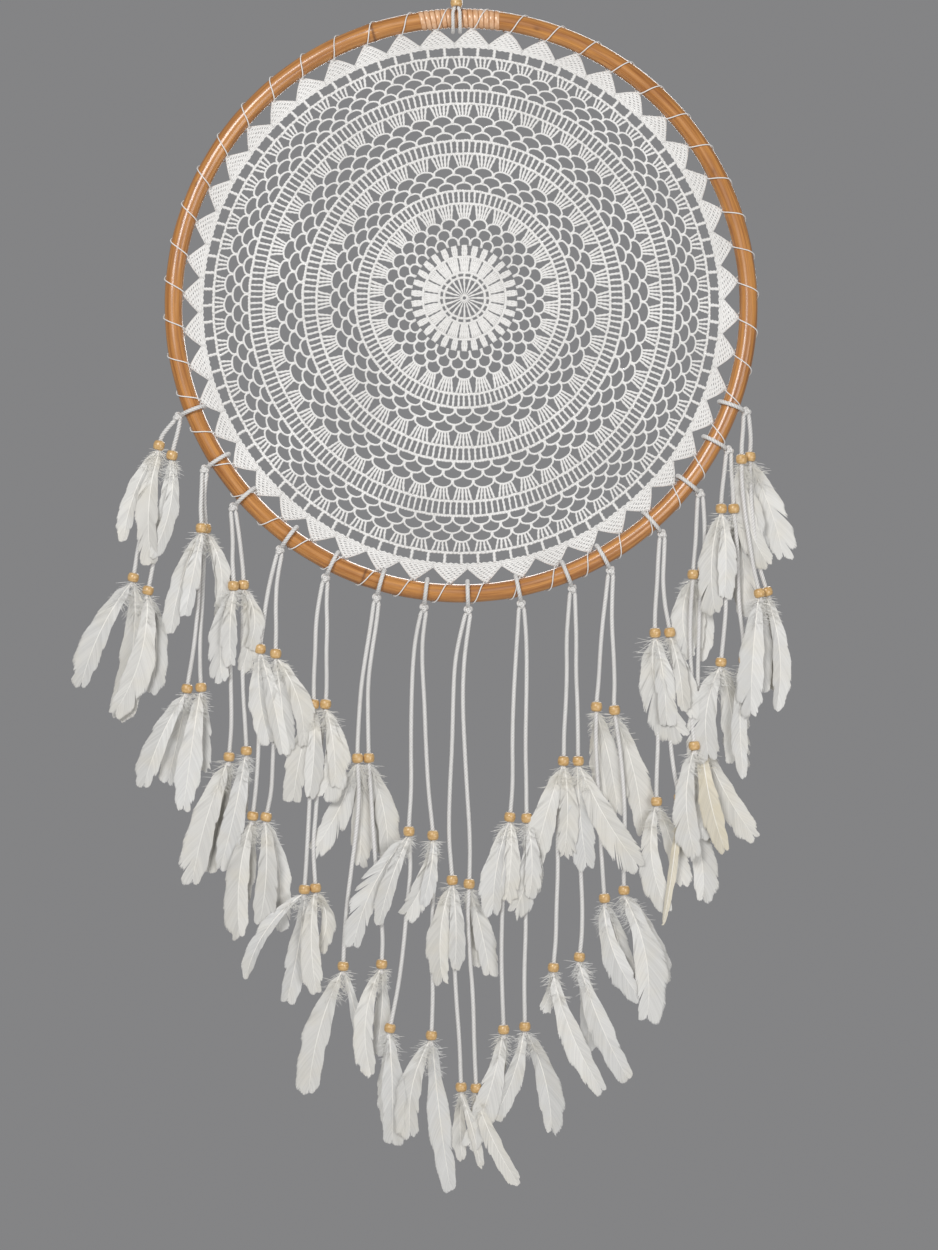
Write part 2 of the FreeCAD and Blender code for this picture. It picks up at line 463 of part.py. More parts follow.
def loop_leg(turn_x, side):
    """Route of one hanging cord before it leans: from the hoop up through the bead to the bow's end."""
    half = size("loop_width") / 2
    beside = size("loop_bead_x") + side * (size("loop_cord_radius") + 0.05)
    bead_bottom = -size("loop_bead_drop") - size("loop_bead_height") / 2
    bead_top = bead_bottom + size("loop_bead_height")
    leave = -size("hoop_drop") * math.cos(LOOP_LEAN)
    return ((turn_x, 0, leave), (turn_x, 0, leave + 2), (beside, 0, bead_bottom - 1.3),
            (beside, 0, bead_top + 4), (side * half, 0, -14), (side * half, 0, size("loop_cord_radius") - half))


def hoop_turn(turn_x):
    """Most of a turn round the hoop: from the leg at the front, underneath and behind, to the top."""
    def at(degrees):
        swing = math.radians(degrees)
        return Vector(turn_x, -LOOP_TURN_RADIUS * math.cos(swing),
                      -size("hoop_drop") + LOOP_TURN_RADIUS * math.sin(swing))
    start = math.degrees(LOOP_LEAN)
    return Part.Wire([Part.Arc(at(start), at((start - 270) / 2), at(-270)).toShape()])


def hanging_loop():
    """The closed cord: a bow over the nail, two legs, two turns round the hoop and a bight between them."""
    cord, half = size("loop_cord_radius"), size("loop_width") / 2
    bow_centre = Vector(0, 0, cord - half)
    bow = Part.Wire([Part.Arc(bow_centre - Vector(half, 0, 0), bow_centre + Vector(0, 0, half),
                              bow_centre + Vector(half, 0, 0)).toShape()])
    left, right = size("loop_turn_left"), size("loop_turn_right")
    top = -size("hoop_drop") + LOOP_TURN_RADIUS
    bight = Part.Wire([Part.Arc(Vector(left, 0, top), Vector((left + right) / 2, (left - right) / 2, top),
                                Vector(right, 0, top)).toShape()])
    pieces = [tube(bow, cord, "loop bow")]
    for turn_x, side in ((left, -1), (right, 1)):
        pieces.append(tube(cord_wire(loop_leg(turn_x, side), "loop leg"), cord, "loop leg"))
    for piece in pieces:
        piece.Placement = LEAN
    pieces += [tube(hoop_turn(left), cord, "left turn"), tube(hoop_turn(right), cord, "right turn"),
               tube(bight, cord, "bight")]
    return pieces[0].fuse(pieces[1:]).removeSplitter()


loop = feature("hanging_loop", hanging_loop())

# ---------------------------------------------------------------- strands: cord, beads, feathers
BEAD_BORE = size("cord_radius") + size("clearance")
bead_master = bored_bead("bead_pattern", size("bead_radius"), size("bead_height"), BEAD_BORE,
                         {"bore": "(Sizes.cord_radius + Sizes.clearance)",
                          "height": "Sizes.bead_height", "radius": "Sizes.bead_radius"})
doc.recompute()


def run_middle(points, run):
    """Middle and downward direction of one run of a route."""
    start, finish = Vector(*points[run]), Vector(*points[run + 1])
    heading = finish - start
    heading.normalize()
    return (start + finish) * 0.5, heading


def bead_on(points, run):
    """A bead threaded on one run of a leg."""
    centre, heading = run_middle(points, run)
    return bead_master.Shape.transformed(
        Placement(centre, Rotation(Vector(0, 0, -1), heading)).toMatrix())


def bead_underside(offset):
    """How far below a bead's centre its crown is at this distance from the bore's axis."""
    over_bore = size("bead_radius") - BEAD_BORE
    crown = (over_bore ** 2 + (size("bead_height") / 2) ** 2) / (2 * over_bore)
    centre = size("bead_radius") - crown
    return math.sqrt(crown ** 2 - (offset - centre) ** 2)


def feather(length, width):
    """A feather hanging down from the origin: a bare quill that opens into a vane and ends in a point."""
    half, quill, front = width / 2, size("quill_width") / 2, -size("feather_thickness") / 2
    bare, widest, shoulder = 0.05 * length, 0.45 * length, 0.8 * length
    edges = [Part.LineSegment(Vector(-quill, front, 0), Vector(quill, front, 0)).toShape()]
    for side in (1, -1):
        top, opening = Vector(side * quill, front, 0), Vector(side * quill, front, -bare)
        edge = Vector(side * half, front, -widest)
        edges += [Part.LineSegment(top, opening).toShape(),
                  Part.Arc(opening, Vector(side * 0.82 * half, front, -0.2 * length), edge).toShape(),
                  Part.Arc(edge, Vector(side * 0.84 * half, front, -shoulder),
                           Vector(0, front, -length)).toShape()]
    return Part.Face(Part.Wire(Part.__sortEdges__(edges))).extrude(BACK * size("feather_thickness"))


def feathers_under(points, run, tufts, leg_side):
    """The feathers jammed in one bead, in flat layers in front of and behind the cord."""
    centre, _ = run_middle(points, run)
    near, step = size("layer_near"), size("layer_step")
    if abs(centre.y) <= SIDE_BY_SIDE:
        reach = near if leg_side < 0 else near + step
        layers = (-reach, reach)
    else:
        outward = math.copysign(1.0, centre.y)
        layers = (outward * near, outward * (near + step))
    solids = []
    for (tilt, length, width), layer in zip(tufts, layers):
        inner_face = abs(layer) - size("feather_thickness") / 2
        top = centre + Vector(0, layer, -bead_underside(inner_face) - size("clearance") - 0.15)
        vane = feather(length, width)
        vane.Placement = Placement(top, Rotation(BACK, -tilt))
        solids.append(vane)
    return solids


def strand_cord(name, legs):
    """The knot and its two legs, as one cord."""
    tubes = [tube(cord_wire(leg[0], f"{name} leg {letter}"), size("cord_radius"), name)
             for letter, leg in zip("ab", legs)]
    return knot_drum().fuse(tubes)


strand_objects = []
for number, (angle, *legs) in enumerate(STRANDS, start=1):
    name = f"strand_{number:02d}"
    beads = [bead_on(points, run) for points, runs, _, _ in legs for run in runs]
    tufts = []
    for (points, runs, upper, lower), leg_side in zip(legs, (-1, 1)):
        tufts += feathers_under(points, runs[0], upper, leg_side)
        tufts += feathers_under(points, runs[1], lower, leg_side)
    for suffix, shape in (("cord", strand_cord(name, legs)), ("beads", Part.makeCompound(beads)),
                          ("feathers", Part.makeCompound(tufts))):
        obj = feature(f"{name}_{suffix}", shape)
        reach = "(Sizes.hoop_radius + Sizes.cane_radius + Sizes.knot_drop)"
        bind(obj, Placement__Base__x=f"{HOOP_X} + {reach} * sin({angle} deg)",
             Placement__Base__z=f"{HOOP_Z} - {reach} * cos({angle} deg)")
        strand_objects.append(obj)

for obj in (hoop, binding, web, lacing, hitches):
    bind(obj, Placement__Base__x=HOOP_X, Placement__Base__z=HOOP_Z)

# ---------------------------------------------------------------- check and write
doc.recompute()
failed = [obj.Label for obj in doc.Objects if {"Invalid", "Error"} & set(obj.State)]
if failed:
    raise RuntimeError(f"objects that failed to build: {failed}")

os.makedirs("parts", exist_ok=True)
for obj in [hoop, binding, web, lacing, hitches, loop, hanger_bead] + strand_objects:
    if obj.Shape.isNull() or not obj.Shape.isValid() or not obj.Shape.Solids:
        raise RuntimeError(f"{obj.Label}: bad shape")
    obj.Shape.exportStep(f"parts/{obj.Label}.step")
    box = obj.Shape.BoundBox
    print(f"{obj.Label}: {len(obj.Shape.Solids)} solids, {obj.Shape.Volume:.0f} mm3, "
          f"z {box.ZMin:.1f} to {box.ZMax:.1f}")
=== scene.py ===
"""A hanging dream catcher, dressed over its plain frame.

A rattan hoop holds a crocheted cotton doily on a lacing thread. Fifteen pairs of twisted cotton cords hang
from the hoop, each cord with two wooden beads and the feathers tied into them. Lengths are metres, with X to
the right, Z up and the front towards -Y. The origin is the nail that the hoop hangs from, and the hoop's own
angles run from straight down towards +X.
"""

import logging
import math
import random
from dataclasses import dataclass
from enum import Enum
from typing import Iterable, Sequence

import bpy
from mathutils import Matrix, Vector

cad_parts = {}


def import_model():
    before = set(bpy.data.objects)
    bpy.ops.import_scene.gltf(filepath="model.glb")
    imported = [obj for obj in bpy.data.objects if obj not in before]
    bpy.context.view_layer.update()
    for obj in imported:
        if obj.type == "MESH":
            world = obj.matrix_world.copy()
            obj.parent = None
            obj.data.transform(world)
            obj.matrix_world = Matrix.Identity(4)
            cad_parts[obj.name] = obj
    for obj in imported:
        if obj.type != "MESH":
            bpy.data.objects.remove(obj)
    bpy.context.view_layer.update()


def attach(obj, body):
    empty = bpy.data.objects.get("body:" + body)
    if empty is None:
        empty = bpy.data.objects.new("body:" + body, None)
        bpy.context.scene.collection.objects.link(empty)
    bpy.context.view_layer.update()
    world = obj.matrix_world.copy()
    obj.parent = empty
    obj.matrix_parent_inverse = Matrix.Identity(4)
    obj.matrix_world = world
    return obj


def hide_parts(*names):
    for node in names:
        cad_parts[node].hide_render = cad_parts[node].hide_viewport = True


LOG = logging.getLogger("dream_catcher")
MM = 0.001
TURN = 2 * math.pi

HOOP_CENTRE = Vector((3.5, 0.0, -376.0)) * MM
HOOP_RADIUS = 287.5 * MM
CANE_RADIUS = 9.0 * MM
KNOT_REACH = 304.1 * MM
CORD_RADIUS = 2.25 * MM
BEAD_RADIUS = 5.75 * MM
BEAD_HEIGHT = 9.6 * MM
TIP_COUNT = 48
TIP_PHASE = math.radians(5.15)

Colour = tuple[float, float, float]
Row = tuple[float, float, float]


class Slot(Enum):
    """The record's finishes."""

    CANE = "cane"
    BINDING = "cane_binding"
    WOOD = "bead_wood"
    THREAD = "cotton_thread"
    CORD = "cotton_cord"
    FEATHER = "feather"


class Side(Enum):
    """Where a bead's feathers hang, seen from the front."""

    FRONT = -1.0
    BEHIND = 1.0


@dataclass(frozen=True)
class Leg:
    """One cord of a strand.

    Attributes:
        route: The cord's control points from the knot's centre, in millimetres.
        runs: The two runs of the route that carry its beads.
        upper: Feathers in the upper bead, each (across, drop, width, bow) in millimetres. A negative width
            marks a cream feather.
        lower: Feathers in the lower bead.
        side: Whether the upper feathers hang before or behind the cord.
    """

    route: tuple[Row, ...]
    runs: tuple[int, int]
    upper: tuple[tuple[float, float, float, float], ...]
    lower: tuple[tuple[float, float, float, float], ...]
    side: Side = Side.FRONT


@dataclass(frozen=True)
class Strand:
    """A pair of cords hung from one hitch.

    Attributes:
        angle: Degrees round the hoop from straight down towards +X.
        legs: The left cord and the right cord.
    """

    angle: float
    legs: tuple[Leg, Leg]


STRANDS = (
    Strand(-68.65, (
        Leg(
            ((-2.5, 0, -3), (-12, 0, -13.5), (-17, 0, -21), (-20.5, 0, -36.5), (-24, 0, -63.5),
             (-32, 0, -98.5), (-40, 0, -131.5), (-43, 0, -153), (-46, 0, -168.5)),
            (2, 7), ((-34, 93, 20, -6), (-8, 115, 26, -6)), ((-50, 105, 28, -6), (-16, 137, 34, 6)),
        ),
        Leg(
            ((2.5, 0, -3), (0, 0, -16.5), (-4.5, 0, -31), (-7, 0, -46.5), (-10, 0, -73.5),
             (-16, 0, -108.5), (-23.5, 0, -141.5), (-28, 0, -166), (-31.5, 0, -181.5)),
            (2, 7), ((-10, 81, 22, 2), (-20, 100, 20, 8)), ((-30, 119, 30, 10), (2, 99, 24, 6)),
        ),
    )),
    Strand(-57.5, (
        Leg(
            ((-2.5, 0, -3), (-2.5, -2.5, -19), (-3.5, -4.5, -39), (-2.5, -6.5, -51), (-2.5, -6.5, -67),
             (-4.5, -6, -96), (-5.5, -4, -131), (-9.5, -2, -171), (-13.5, -0.5, -196), (-16.5, 0, -211.5),
             (-18.5, 0, -227)),
            (3, 9), ((-29, 102, 22, -4), (-16, 84, 18, 0)), ((-41, 94, 26, -4), (-20, 90, 24, 0)),
        ),
        Leg(
            ((2.5, 0, -3), (-0.5, 2.5, -19), (-0.5, 4.5, -39), (0.5, 6.5, -51), (0.5, 6.5, -67),
             (-1.5, 6, -96), (-2.5, 4, -131), (-4.5, 1, -171), (-4.5, 0, -197), (-4, 0, -210),
             (-3, 0, -226)),
            (3, 9), ((14, 97, 22, 10), (14, 76, 18, 8)), ((-16, 118, 26, 0), (0, 80, 20, 0)),
        ),
    )),
    Strand(-48.55, (
        Leg(
            ((-2.5, 0, -3), (0, -1, -26.5), (-0.5, -3, -55.5), (1, -4, -70.5), (0.5, -4, -86.5),
             (-2, -3, -113.5), (-3, -1, -148.5), (-2, 0, -183.5), (-1.5, 0, -218.5), (-3.5, 0, -241.5),
             (-4.5, 0, -257.5)),
            (3, 9), ((-10, 92, 24, -6), (-3, 75, 20, -2)), ((-35, 122, 32, -4), (-22, 112, 24, 0)),
        ),
        Leg(
            ((2.5, 0, -3), (6, 1, -26.5), (9, 3, -55.5), (10, 4, -69.5), (10, 4, -85.5), (9, 3, -113.5),
             (9, 1, -148.5), (10, 0, -183.5), (12, 0, -215.5), (13, 0, -235.5), (13.5, 0, -251.5)),
            (3, 9), ((0, 83, 22, 8), (6, 60, 18, 8)), ((-24, 114, 26, 2), (-19, 100, 22, 0)),
        ),
    )),
    Strand(-36.6, (
        Leg(
            ((-2.5, 0, -3), (-8.5, 0, -25.5), (-13.5, 0, -50.5), (-16.5, 0, -75.5), (-19, 0, -91),
             (-20, 0, -106.5), (-20.5, 0, -135.5), (-20.5, 0, -170.5), (-21.5, 0, -205.5),
             (-23.5, 0, -235.5), (-26, 0, -258), (-28, 0, -273.5)),
            (4, 10), ((10, 90, 24, -4), (22, 102, 22, 2)), ((-12, 117, 28, -6), (-14, 90, 22, 0)),
        ),
        Leg(
            ((2.5, 0, -3), (-2.5, 0, -26.5), (-4, 0, -52.5), (-3.5, 0, -78.5), (-4, 0, -95.5),
             (-4, 0, -111.5), (-5.5, 0, -140.5), (-5, 0, -175.5), (-7, 0, -210.5), (-8, 0, -240.5),
             (-12, 0, -259), (-15, 0, -274.5)),
            (4, 10), ((9, 97, 24, 3), (28, 88, 24, 8)), ((-5, 104, 26, 4), (12, 112, 22, 6)),
        ),
    )),
    Strand(-26.5, (
        Leg(
            ((-2.5, 0, -3), (-6, 0, -20), (-9.5, 0, -45), (-10, 0, -73), (-11.5, 0, -99),
             (-11.5, 0, -118), (-12, 0, -134), (-12.5, 0, -161), (-14.5, 0, -195), (-16, 0, -229),
             (-18, -2, -268), (-20, -2.5, -302), (-21.5, -2.5, -320)),
            (5, 11), ((-19, 93, 26, -2), (-4, 88, 22, 2)), ((-57, 87, 18, -10), (-18, 109, 26, 2)),
        ),
        Leg(
            ((2.5, 0, -3), (1, 0, -21), (2, 0, -47), (1, 0, -75), (1.5, 0, -100), (1, 0, -118),
             (-0.5, 0, -134), (-4, 0, -161), (-7, 0, -195), (-9, 0, -229), (-12.5, 2, -268),
             (-10.5, 2.5, -301), (-9.5, 2.5, -319)),
            (5, 11), ((0, 88, 30, 10), (9, 78, 20, 3)), ((2, 101, 24, -4), (3, 60, 18, 8)),
        ),
    )),
    Strand(-16.15, (
        Leg(
            ((-2.5, 0, -3), (-5, 0, -23), (-10, 0, -53), (-15, 0, -85), (-17.5, -1, -119),
             (-19, -2.5, -152), (-18.5, -2.5, -168), (-17, -2, -195), (-19.5, -1, -229), (-24.5, 0, -267),
             (-29.5, 0, -305), (-32, 0, -339), (-33, 0, -360), (-33.5, 0, -376)),
            (5, 12), ((-40, 88, 28, 4), (1, 104, 26, 2)), ((-33, 123, 30, -6), (22, 108, 16, 2)), Side.BEHIND,
        ),
        Leg(
            ((2.5, 0, -3), (0.5, 0, -23), (-4.5, 0, -53), (-8.5, 0, -85), (-8.5, 1, -119),
             (-8, 2.5, -152), (-7.5, 2.5, -168), (-5.5, 2, -195), (-3.5, 1, -231), (-0.5, 0, -269),
             (3.5, 0, -305), (6.5, 0, -339), (5.5, 0, -358), (5, 0, -374)),
            (5, 12), ((20, 105, 26, 6), (8, 92, 22, 2)), ((-10, 107, 24, -10), (-6, 88, 20, 2)), Side.BEHIND,
        ),
    )),
    Strand(-7, (
        Leg(
            ((-2.5, 0, -3), (-7.5, 0, -23.5), (-11, 0, -53.5), (-12.5, 0, -93.5), (-13, 0, -138.5),
             (-12.5, 0, -181.5), (-15, 0, -215.5), (-15, 0, -231.5), (-13, 0, -261.5), (-17, 0, -298.5),
             (-20, 0, -335.5), (-25, 0, -375.5), (-32, 0, -411), (-36, 0, -429.5)),
            (6, 12), ((-54, 111, 28, -8), (-30, 90, 20, -3)), ((3, 111, 28, 2), (-2, 96, 22, -2)),
        ),
        Leg(
            ((2.5, 0, -3), (-1, 0, -23.5), (-2, 0, -53.5), (0.5, 0, -93.5), (2, 0, -138.5),
             (4.5, 0, -183.5), (8.5, 0, -218.5), (9.5, 0, -236.5), (10.5, 0, -265.5), (8.5, 0, -303.5),
             (8, 0, -343.5), (9, 0, -383.5), (8, 0, -418), (7, 0, -437)),
            (6, 12), ((-25, 76, 26, 6), (-10, 65, 18, 2)), ((-20, 96, 28, -8), (18, 154, 26, -2)),
        ),
    )),
    Strand(1.35, (
        Leg(
            ((-2.5, 0, -3), (-8, 0, -24), (-13.5, 0, -53), (-15, 0, -91), (-16, 0, -136),
             (-18.5, 0, -181), (-19.5, 0, -226), (-16.5, 0, -261), (-15.5, 0, -279), (-13.5, 0, -306),
             (-14, 0, -346), (-12, 0, -389), (-8.5, 0, -433), (-7.5, 0, -467.5), (-6.5, 0, -486.5)),
            (7, 13), ((-9, 97, 26, -6), (2, 85, 20, 2)), ((20, 78, 14, 2), (0, 70, 18, -2)),
        ),
        Leg(
            ((2.5, 0, -3), (-1, 0, -25), (-4.5, 0, -55), (-5.5, 0, -93), (-3.5, 0, -138), (-1, 0, -183),
             (2, 0, -229), (1.5, 0, -264.5), (0.5, 0, -283), (-0.5, 0, -309), (1.5, 0, -346),
             (5, 0, -386), (6, 0, -433), (7.5, 0, -468.5), (8.5, 0, -487.5)),
            (7, 13), ((21, 88, 24, 2), (6, 80, 20, 2)), ((42, 93, 20, -4), (-3, 40, 14, 0)), Side.BEHIND,
        ),
    )),
    Strand(11.45, (
        Leg(
            ((-2.5, 0, -3), (-3.5, 0, -23), (-5.5, 0, -53), (-8, 0, -97), (-9, 0, -139), (-8.5, 0, -177),
             (-10.5, 0, -205), (-12.5, 0, -221), (-15.5, 0, -247), (-18, 0, -281), (-19.5, 0, -319),
             (-20, 0, -357), (-19, 0, -393), (-18, 0, -417.5), (-17.5, 0, -433.5)),
            (6, 13), ((-16, 92, 28, -4), (-4, 79, 22, 2)), ((-33, 113, 28, 4), (-15, 81, 22, 0)),
        ),
        Leg(
            ((2.5, 0, -3), (4.5, 0, -23), (5.5, 0, -55), (5, 0, -97), (4, 0, -142), (5, 0, -179),
             (5, 0, -206), (6, 0, -222), (5.5, 0, -252), (4, 0, -289), (4.5, 0, -327), (3, 0, -362),
             (3, 0, -395), (3.5, 0, -414.5), (3.5, 0, -430.5)),
            (6, 13), ((-10, 89, 28, 8), (2, 75, 20, 3)), ((-28, 87, 22, 4), (26, 102, 28, 6)),
        ),
    )),
    Strand(21.5, (
        Leg(
            ((-2.5, 0, -3), (-4, 0, -22), (-6, 0, -50), (-5.5, 0, -82), (-6.5, 0, -114), (-8.5, 0, -145),
             (-8.5, 0, -164), (-9.5, 0, -180), (-12.5, 0, -208), (-15, 0, -244), (-14.5, 0, -282),
             (-16, 0, -318), (-16.5, 0, -350), (-18.5, 0, -370.5), (-19.5, 0, -386.5)),
            (6, 13), ((-28, 101, 30, -2), (0, 90, 24, 3)), ((48, 120, 26, -6), (-10, 40, 16, 2)),
        ),
        Leg(
            ((2.5, 0, -3), (3, 0, -22), (4, 0, -50), (3.5, 0, -82), (5, 0, -114), (5.5, 0, -145),
             (5.5, 0, -164), (6, 0, -180), (7.5, 0, -208), (7, 0, -248), (8.5, 0, -286), (10, 0, -318),
             (9.5, 0, -344), (8, 0, -360), (6, 0, -376)),
            (6, 13), ((9, 101, 30, -2), (57, 102, 32, -4)), ((48, 119, 26, -4), (8, 90, 22, 3)),
        ),
    )),
    Strand(29.5, (
        Leg(
            ((-2.5, 0, -3), (-4.5, 0, -22.5), (-8, 0, -50.5), (-10.5, 0, -80.5), (-12, 0, -110.5),
             (-14, 0, -128), (-14.5, 0, -144), (-15, 0, -170.5), (-13.5, 0, -205.5), (-11.5, 0, -238.5),
             (-10, 0, -272.5), (-8, 0, -302.5), (-7, 0, -319.5), (-5.5, 0, -335.5)),
            (5, 12), ((22, 103, 26, 3), (8, 93, 22, -2)), ((34, 96, 26, -8), (22, 83, 22, 2)), Side.BEHIND,
        ),
        Leg(
            ((2.5, 0, -3), (1.5, 0, -22.5), (1, 0, -52.5), (3, 0, -84.5), (4, 0, -114.5), (3, 0, -131.5),
             (4.5, 0, -147.5), (8.5, 0, -172.5), (12, 0, -205.5), (14, 0, -238.5), (14, 0, -268.5),
             (13, 0, -294.5), (13, 0, -311.5), (13.5, 0, -327.5)),
            (5, 12), ((29, 121, 28, 6), (20, 90, 22, 2)), ((24, 124, 34, 10), (38, 90, 26, 3)), Side.BEHIND,
        ),
    )),
    Strand(41.45, (
        Leg(
            ((-2.5, 0, -3), (-4, 0, -21), (-5, 0, -47), (-7, 0, -73), (-7.5, 0, -91), (-7, 0, -107),
             (-6.5, 0, -133), (-5.5, 0, -167), (-4, 0, -202), (-5.5, 0, -237), (-6, 0, -259.5),
             (-5.5, 0, -275.5)),
            (4, 10), ((26, 100, 34, -12), (10, 88, 24, 2)), ((11, 106, 26, -10), (25, 80, 24, 2)),
        ),
        Leg(
            ((2.5, 0, -3), (2, 0, -21), (0.5, 0, -45), (2.5, 0, -71), (6.5, 0, -90.5), (8.5, 0, -106.5),
             (10, 0, -131), (8.5, 0, -167), (7.5, 0, -205), (11.5, 0, -237), (15.5, 0, -256),
             (19, 0, -271.5)),
            (4, 10), ((23, 82, 22, 2), (12, 75, 18, 2)), ((-16, 126, -12, 2), (23, 99, 28, 8)),
        ),
    )),
    Strand(51.9, (
        Leg(
            ((-2.5, 0, -3), (-3.5, 0, -20), (-4.5, 0, -47), (-7, -2.5, -73), (-8, -3, -89),
             (-10, -1.5, -117), (-10.5, -1, -153), (-8.5, -1, -187), (-9.5, -2, -220), (-7, -3, -244),
             (-5.5, -3.5, -260)),
            (3, 9), ((-2, 78, 24, -8), (3, 70, 18, 2)), ((1, 106, 28, -8), (8, 90, 22, 2)), Side.BEHIND,
        ),
        Leg(
            ((2.5, 0, -3), (4, 0, -20), (4.5, 0, -47), (3.5, 2.5, -69), (2.5, 3, -85), (-0.5, 2, -111),
             (-1.5, 1.5, -147), (-2.5, 1.5, -183), (-1.5, 2, -215), (1.5, 3, -237.5), (3.5, 3.5, -253.5)),
            (3, 9), ((-1, 87, 20, 4), (3, 70, 16, -2)), ((22, 108, -24, -4), (50, 96, 28, -4)), Side.BEHIND,
        ),
    )),
    Strand(61.7, (
        Leg(
            ((-2.5, 0, -3), (-4, 0, -18.5), (-6.5, 0, -38.5), (-7.5, 0, -50.5), (-7.5, 0, -66.5),
             (-6.5, 0, -92.5), (-4, 0, -124.5), (-2.5, 0, -156.5), (-5, 0, -184.5), (-7, 0, -204),
             (-8.5, 0, -220)),
            (3, 9), ((-6, 100, 28, -6), (2, 85, 22, 2)), ((-12, 92, 34, -8), (14, 95, 32, 3)),
        ),
        Leg(
            ((2.5, 0, -3), (2.5, 0, -17.5), (4, 0, -37.5), (4.5, 0, -50.5), (5.5, 0, -66.5),
             (8.5, 0, -92.5), (9, 0, -126.5), (10.5, 0, -158.5), (14.5, 0, -186.5), (15, 0, -201.5),
             (16, 0, -217.5)),
            (3, 9), ((10, 103, 26, 6), (4, 85, 20, -2)), ((0, 115, 20, -4), (-14, 86, 26, 2)), Side.BEHIND,
        ),
    )),
    Strand(69.7, (
        Leg(
            ((-2.5, 0, -3), (-3, -1.5, -16), (-4.5, -3, -30), (-5, -4, -40), (-5, -4, -56),
             (-4.5, -3, -74), (-1.5, -2, -102), (3, -2, -130), (7, -3, -157), (11, -4, -174),
             (14.5, -5, -189.5)),
            (3, 9), ((26, 102, 28, -8), (15, 90, 22, 2)), ((-8, 117, 30, -2), (2, 95, 22, 2)), Side.BEHIND,
        ),
        Leg(
            ((2.5, 0, -3), (4, 1.5, -15), (5, 3, -29), (4.5, 4, -37), (4, 4, -53), (4.5, 3, -73),
             (6, 2, -101), (9.5, 2, -129), (13.5, 3, -156), (19, 4, -172.5), (23.5, 5, -187.5)),
            (3, 9), ((34, 96, 30, 4), (22, 85, 24, 2)), ((10, 116, 22, 8), (4, 95, 20, 2)), Side.BEHIND,
        ),
    )),
)


# ------------------------------------------------------------------ wiring


class Wiring:
    """A node tree that is being wired, for shaders and for geometry alike."""

    def __init__(self, tree: bpy.types.NodeTree) -> None:
        self.tree = tree

    def feed(self, socket: bpy.types.NodeSocket, value: object) -> None:
        """Link a socket to another, or give it a value.

        Args:
            socket: The input.
            value: An output socket, a node whose first output is meant, or a plain value.
        """
        if isinstance(value, bpy.types.Node):
            value = value.outputs[0]
        if isinstance(value, bpy.types.NodeSocket):
            self.tree.links.new(value, socket)
            return
        if socket.type == "RGBA" and len(value) == 3:
            value = (*value, 1.0)
        socket.default_value = value

    def fill(self, node: bpy.types.Node, **inputs: object) -> bpy.types.Node:
        """Feed a node's inputs.

        Args:
            node: The node.
            **inputs: Its inputs by name, with an underscore for each space.

        Returns:
            The same node.
        """
        for name, value in inputs.items():
            self.feed(node.inputs[name.replace("_", " ")], value)
        return node

    def give(self, **outputs: object) -> None:
        """Feed the group's outputs.

        Args:
            **outputs: The outputs by name.
        """
        self.fill(self.tree.nodes["Group Output"], **outputs)

    def add(self, kind: str, settings: dict[str, object] | None = None, **inputs: object) -> bpy.types.Node:
        """Add a node.

        Args:
            kind: The node's type.
            settings: Its properties.
            **inputs: Its inputs by name, with an underscore for each space.

        Returns:
            The node.
        """
        node = self.tree.nodes.new(kind)
        for name, value in (settings or {}).items():
            setattr(node, name, value)
        return self.fill(node, **inputs)

    def math(self, operation: str, *values: object, kind: str = "ShaderNodeMath") -> bpy.types.Node:
        """Add a sum.

        Args:
            operation: The sum's name.
            *values: Its inputs in order.
            kind: The node's type.

        Returns:
            The node.
        """
        node = self.add(kind, {"operation": operation})
        for socket, value in zip(node.inputs, values):
            self.feed(socket, value)
        return node

    def vector(self, operation: str, *values: object) -> bpy.types.Node:
        """Add a sum on vectors.

        Args:
            operation: The sum's name.
            *values: Its vectors in order.

        Returns:
            The node.
        """
        return self.math(operation, *values, kind="ShaderNodeVectorMath")

    def scaled(self, vector: object, share: object) -> bpy.types.Node:
        """Add a vector times a value.

        Args:
            vector: The vector.
            share: The value.

        Returns:
            The node.
        """
        return self.add("ShaderNodeVectorMath", {"operation": "SCALE"}, Vector=vector, Scale=share)

    def mixed(
        self, share: object, first: object, second: object, blend: str = "MIX"
    ) -> bpy.types.NodeSocket:
        """Mix two colours.

        Args:
            share: How much of the second shows.
            first: The colour at 0.
            second: The colour at 1.
            blend: The way they mix.

        Returns:
            The colour's socket.
        """
        node = self.add("ShaderNodeMix", {"data_type": "RGBA", "blend_type": blend})
        self.feed(node.inputs[0], share)
        self.feed(node.inputs[6], first)
        self.feed(node.inputs[7], second)
        return node.outputs[2]

    def spread(self, value: object, low: float, high: float) -> bpy.types.Node:
        """Spread a value that lies round a half over a wider range.

        Args:
            value: The value.
            low: What becomes 0.
            high: What becomes 1.

        Returns:
            The node.
        """
        return self.add("ShaderNodeMapRange", None, Value=value, From_Min=low, From_Max=high)


def make_group(name: str, kind: str, inputs: dict[str, str], outputs: dict[str, str]) -> bpy.types.NodeTree:
    """Start a node group with its sockets.

    Args:
        name: The group's name.
        kind: ShaderNodeTree or GeometryNodeTree.
        inputs: Input names and their short socket types.
        outputs: Output names and their short socket types.

    Returns:
        The empty group.
    """
    tree = bpy.data.node_groups.new(name, kind)
    for side, sockets in (("INPUT", inputs), ("OUTPUT", outputs)):
        for label, socket in sockets.items():
            tree.interface.new_socket(name=label, in_out=side, socket_type="NodeSocket" + socket)
    tree.nodes.new("NodeGroupInput")
    tree.nodes.new("NodeGroupOutput")
    return tree


# ------------------------------------------------------------------ materials


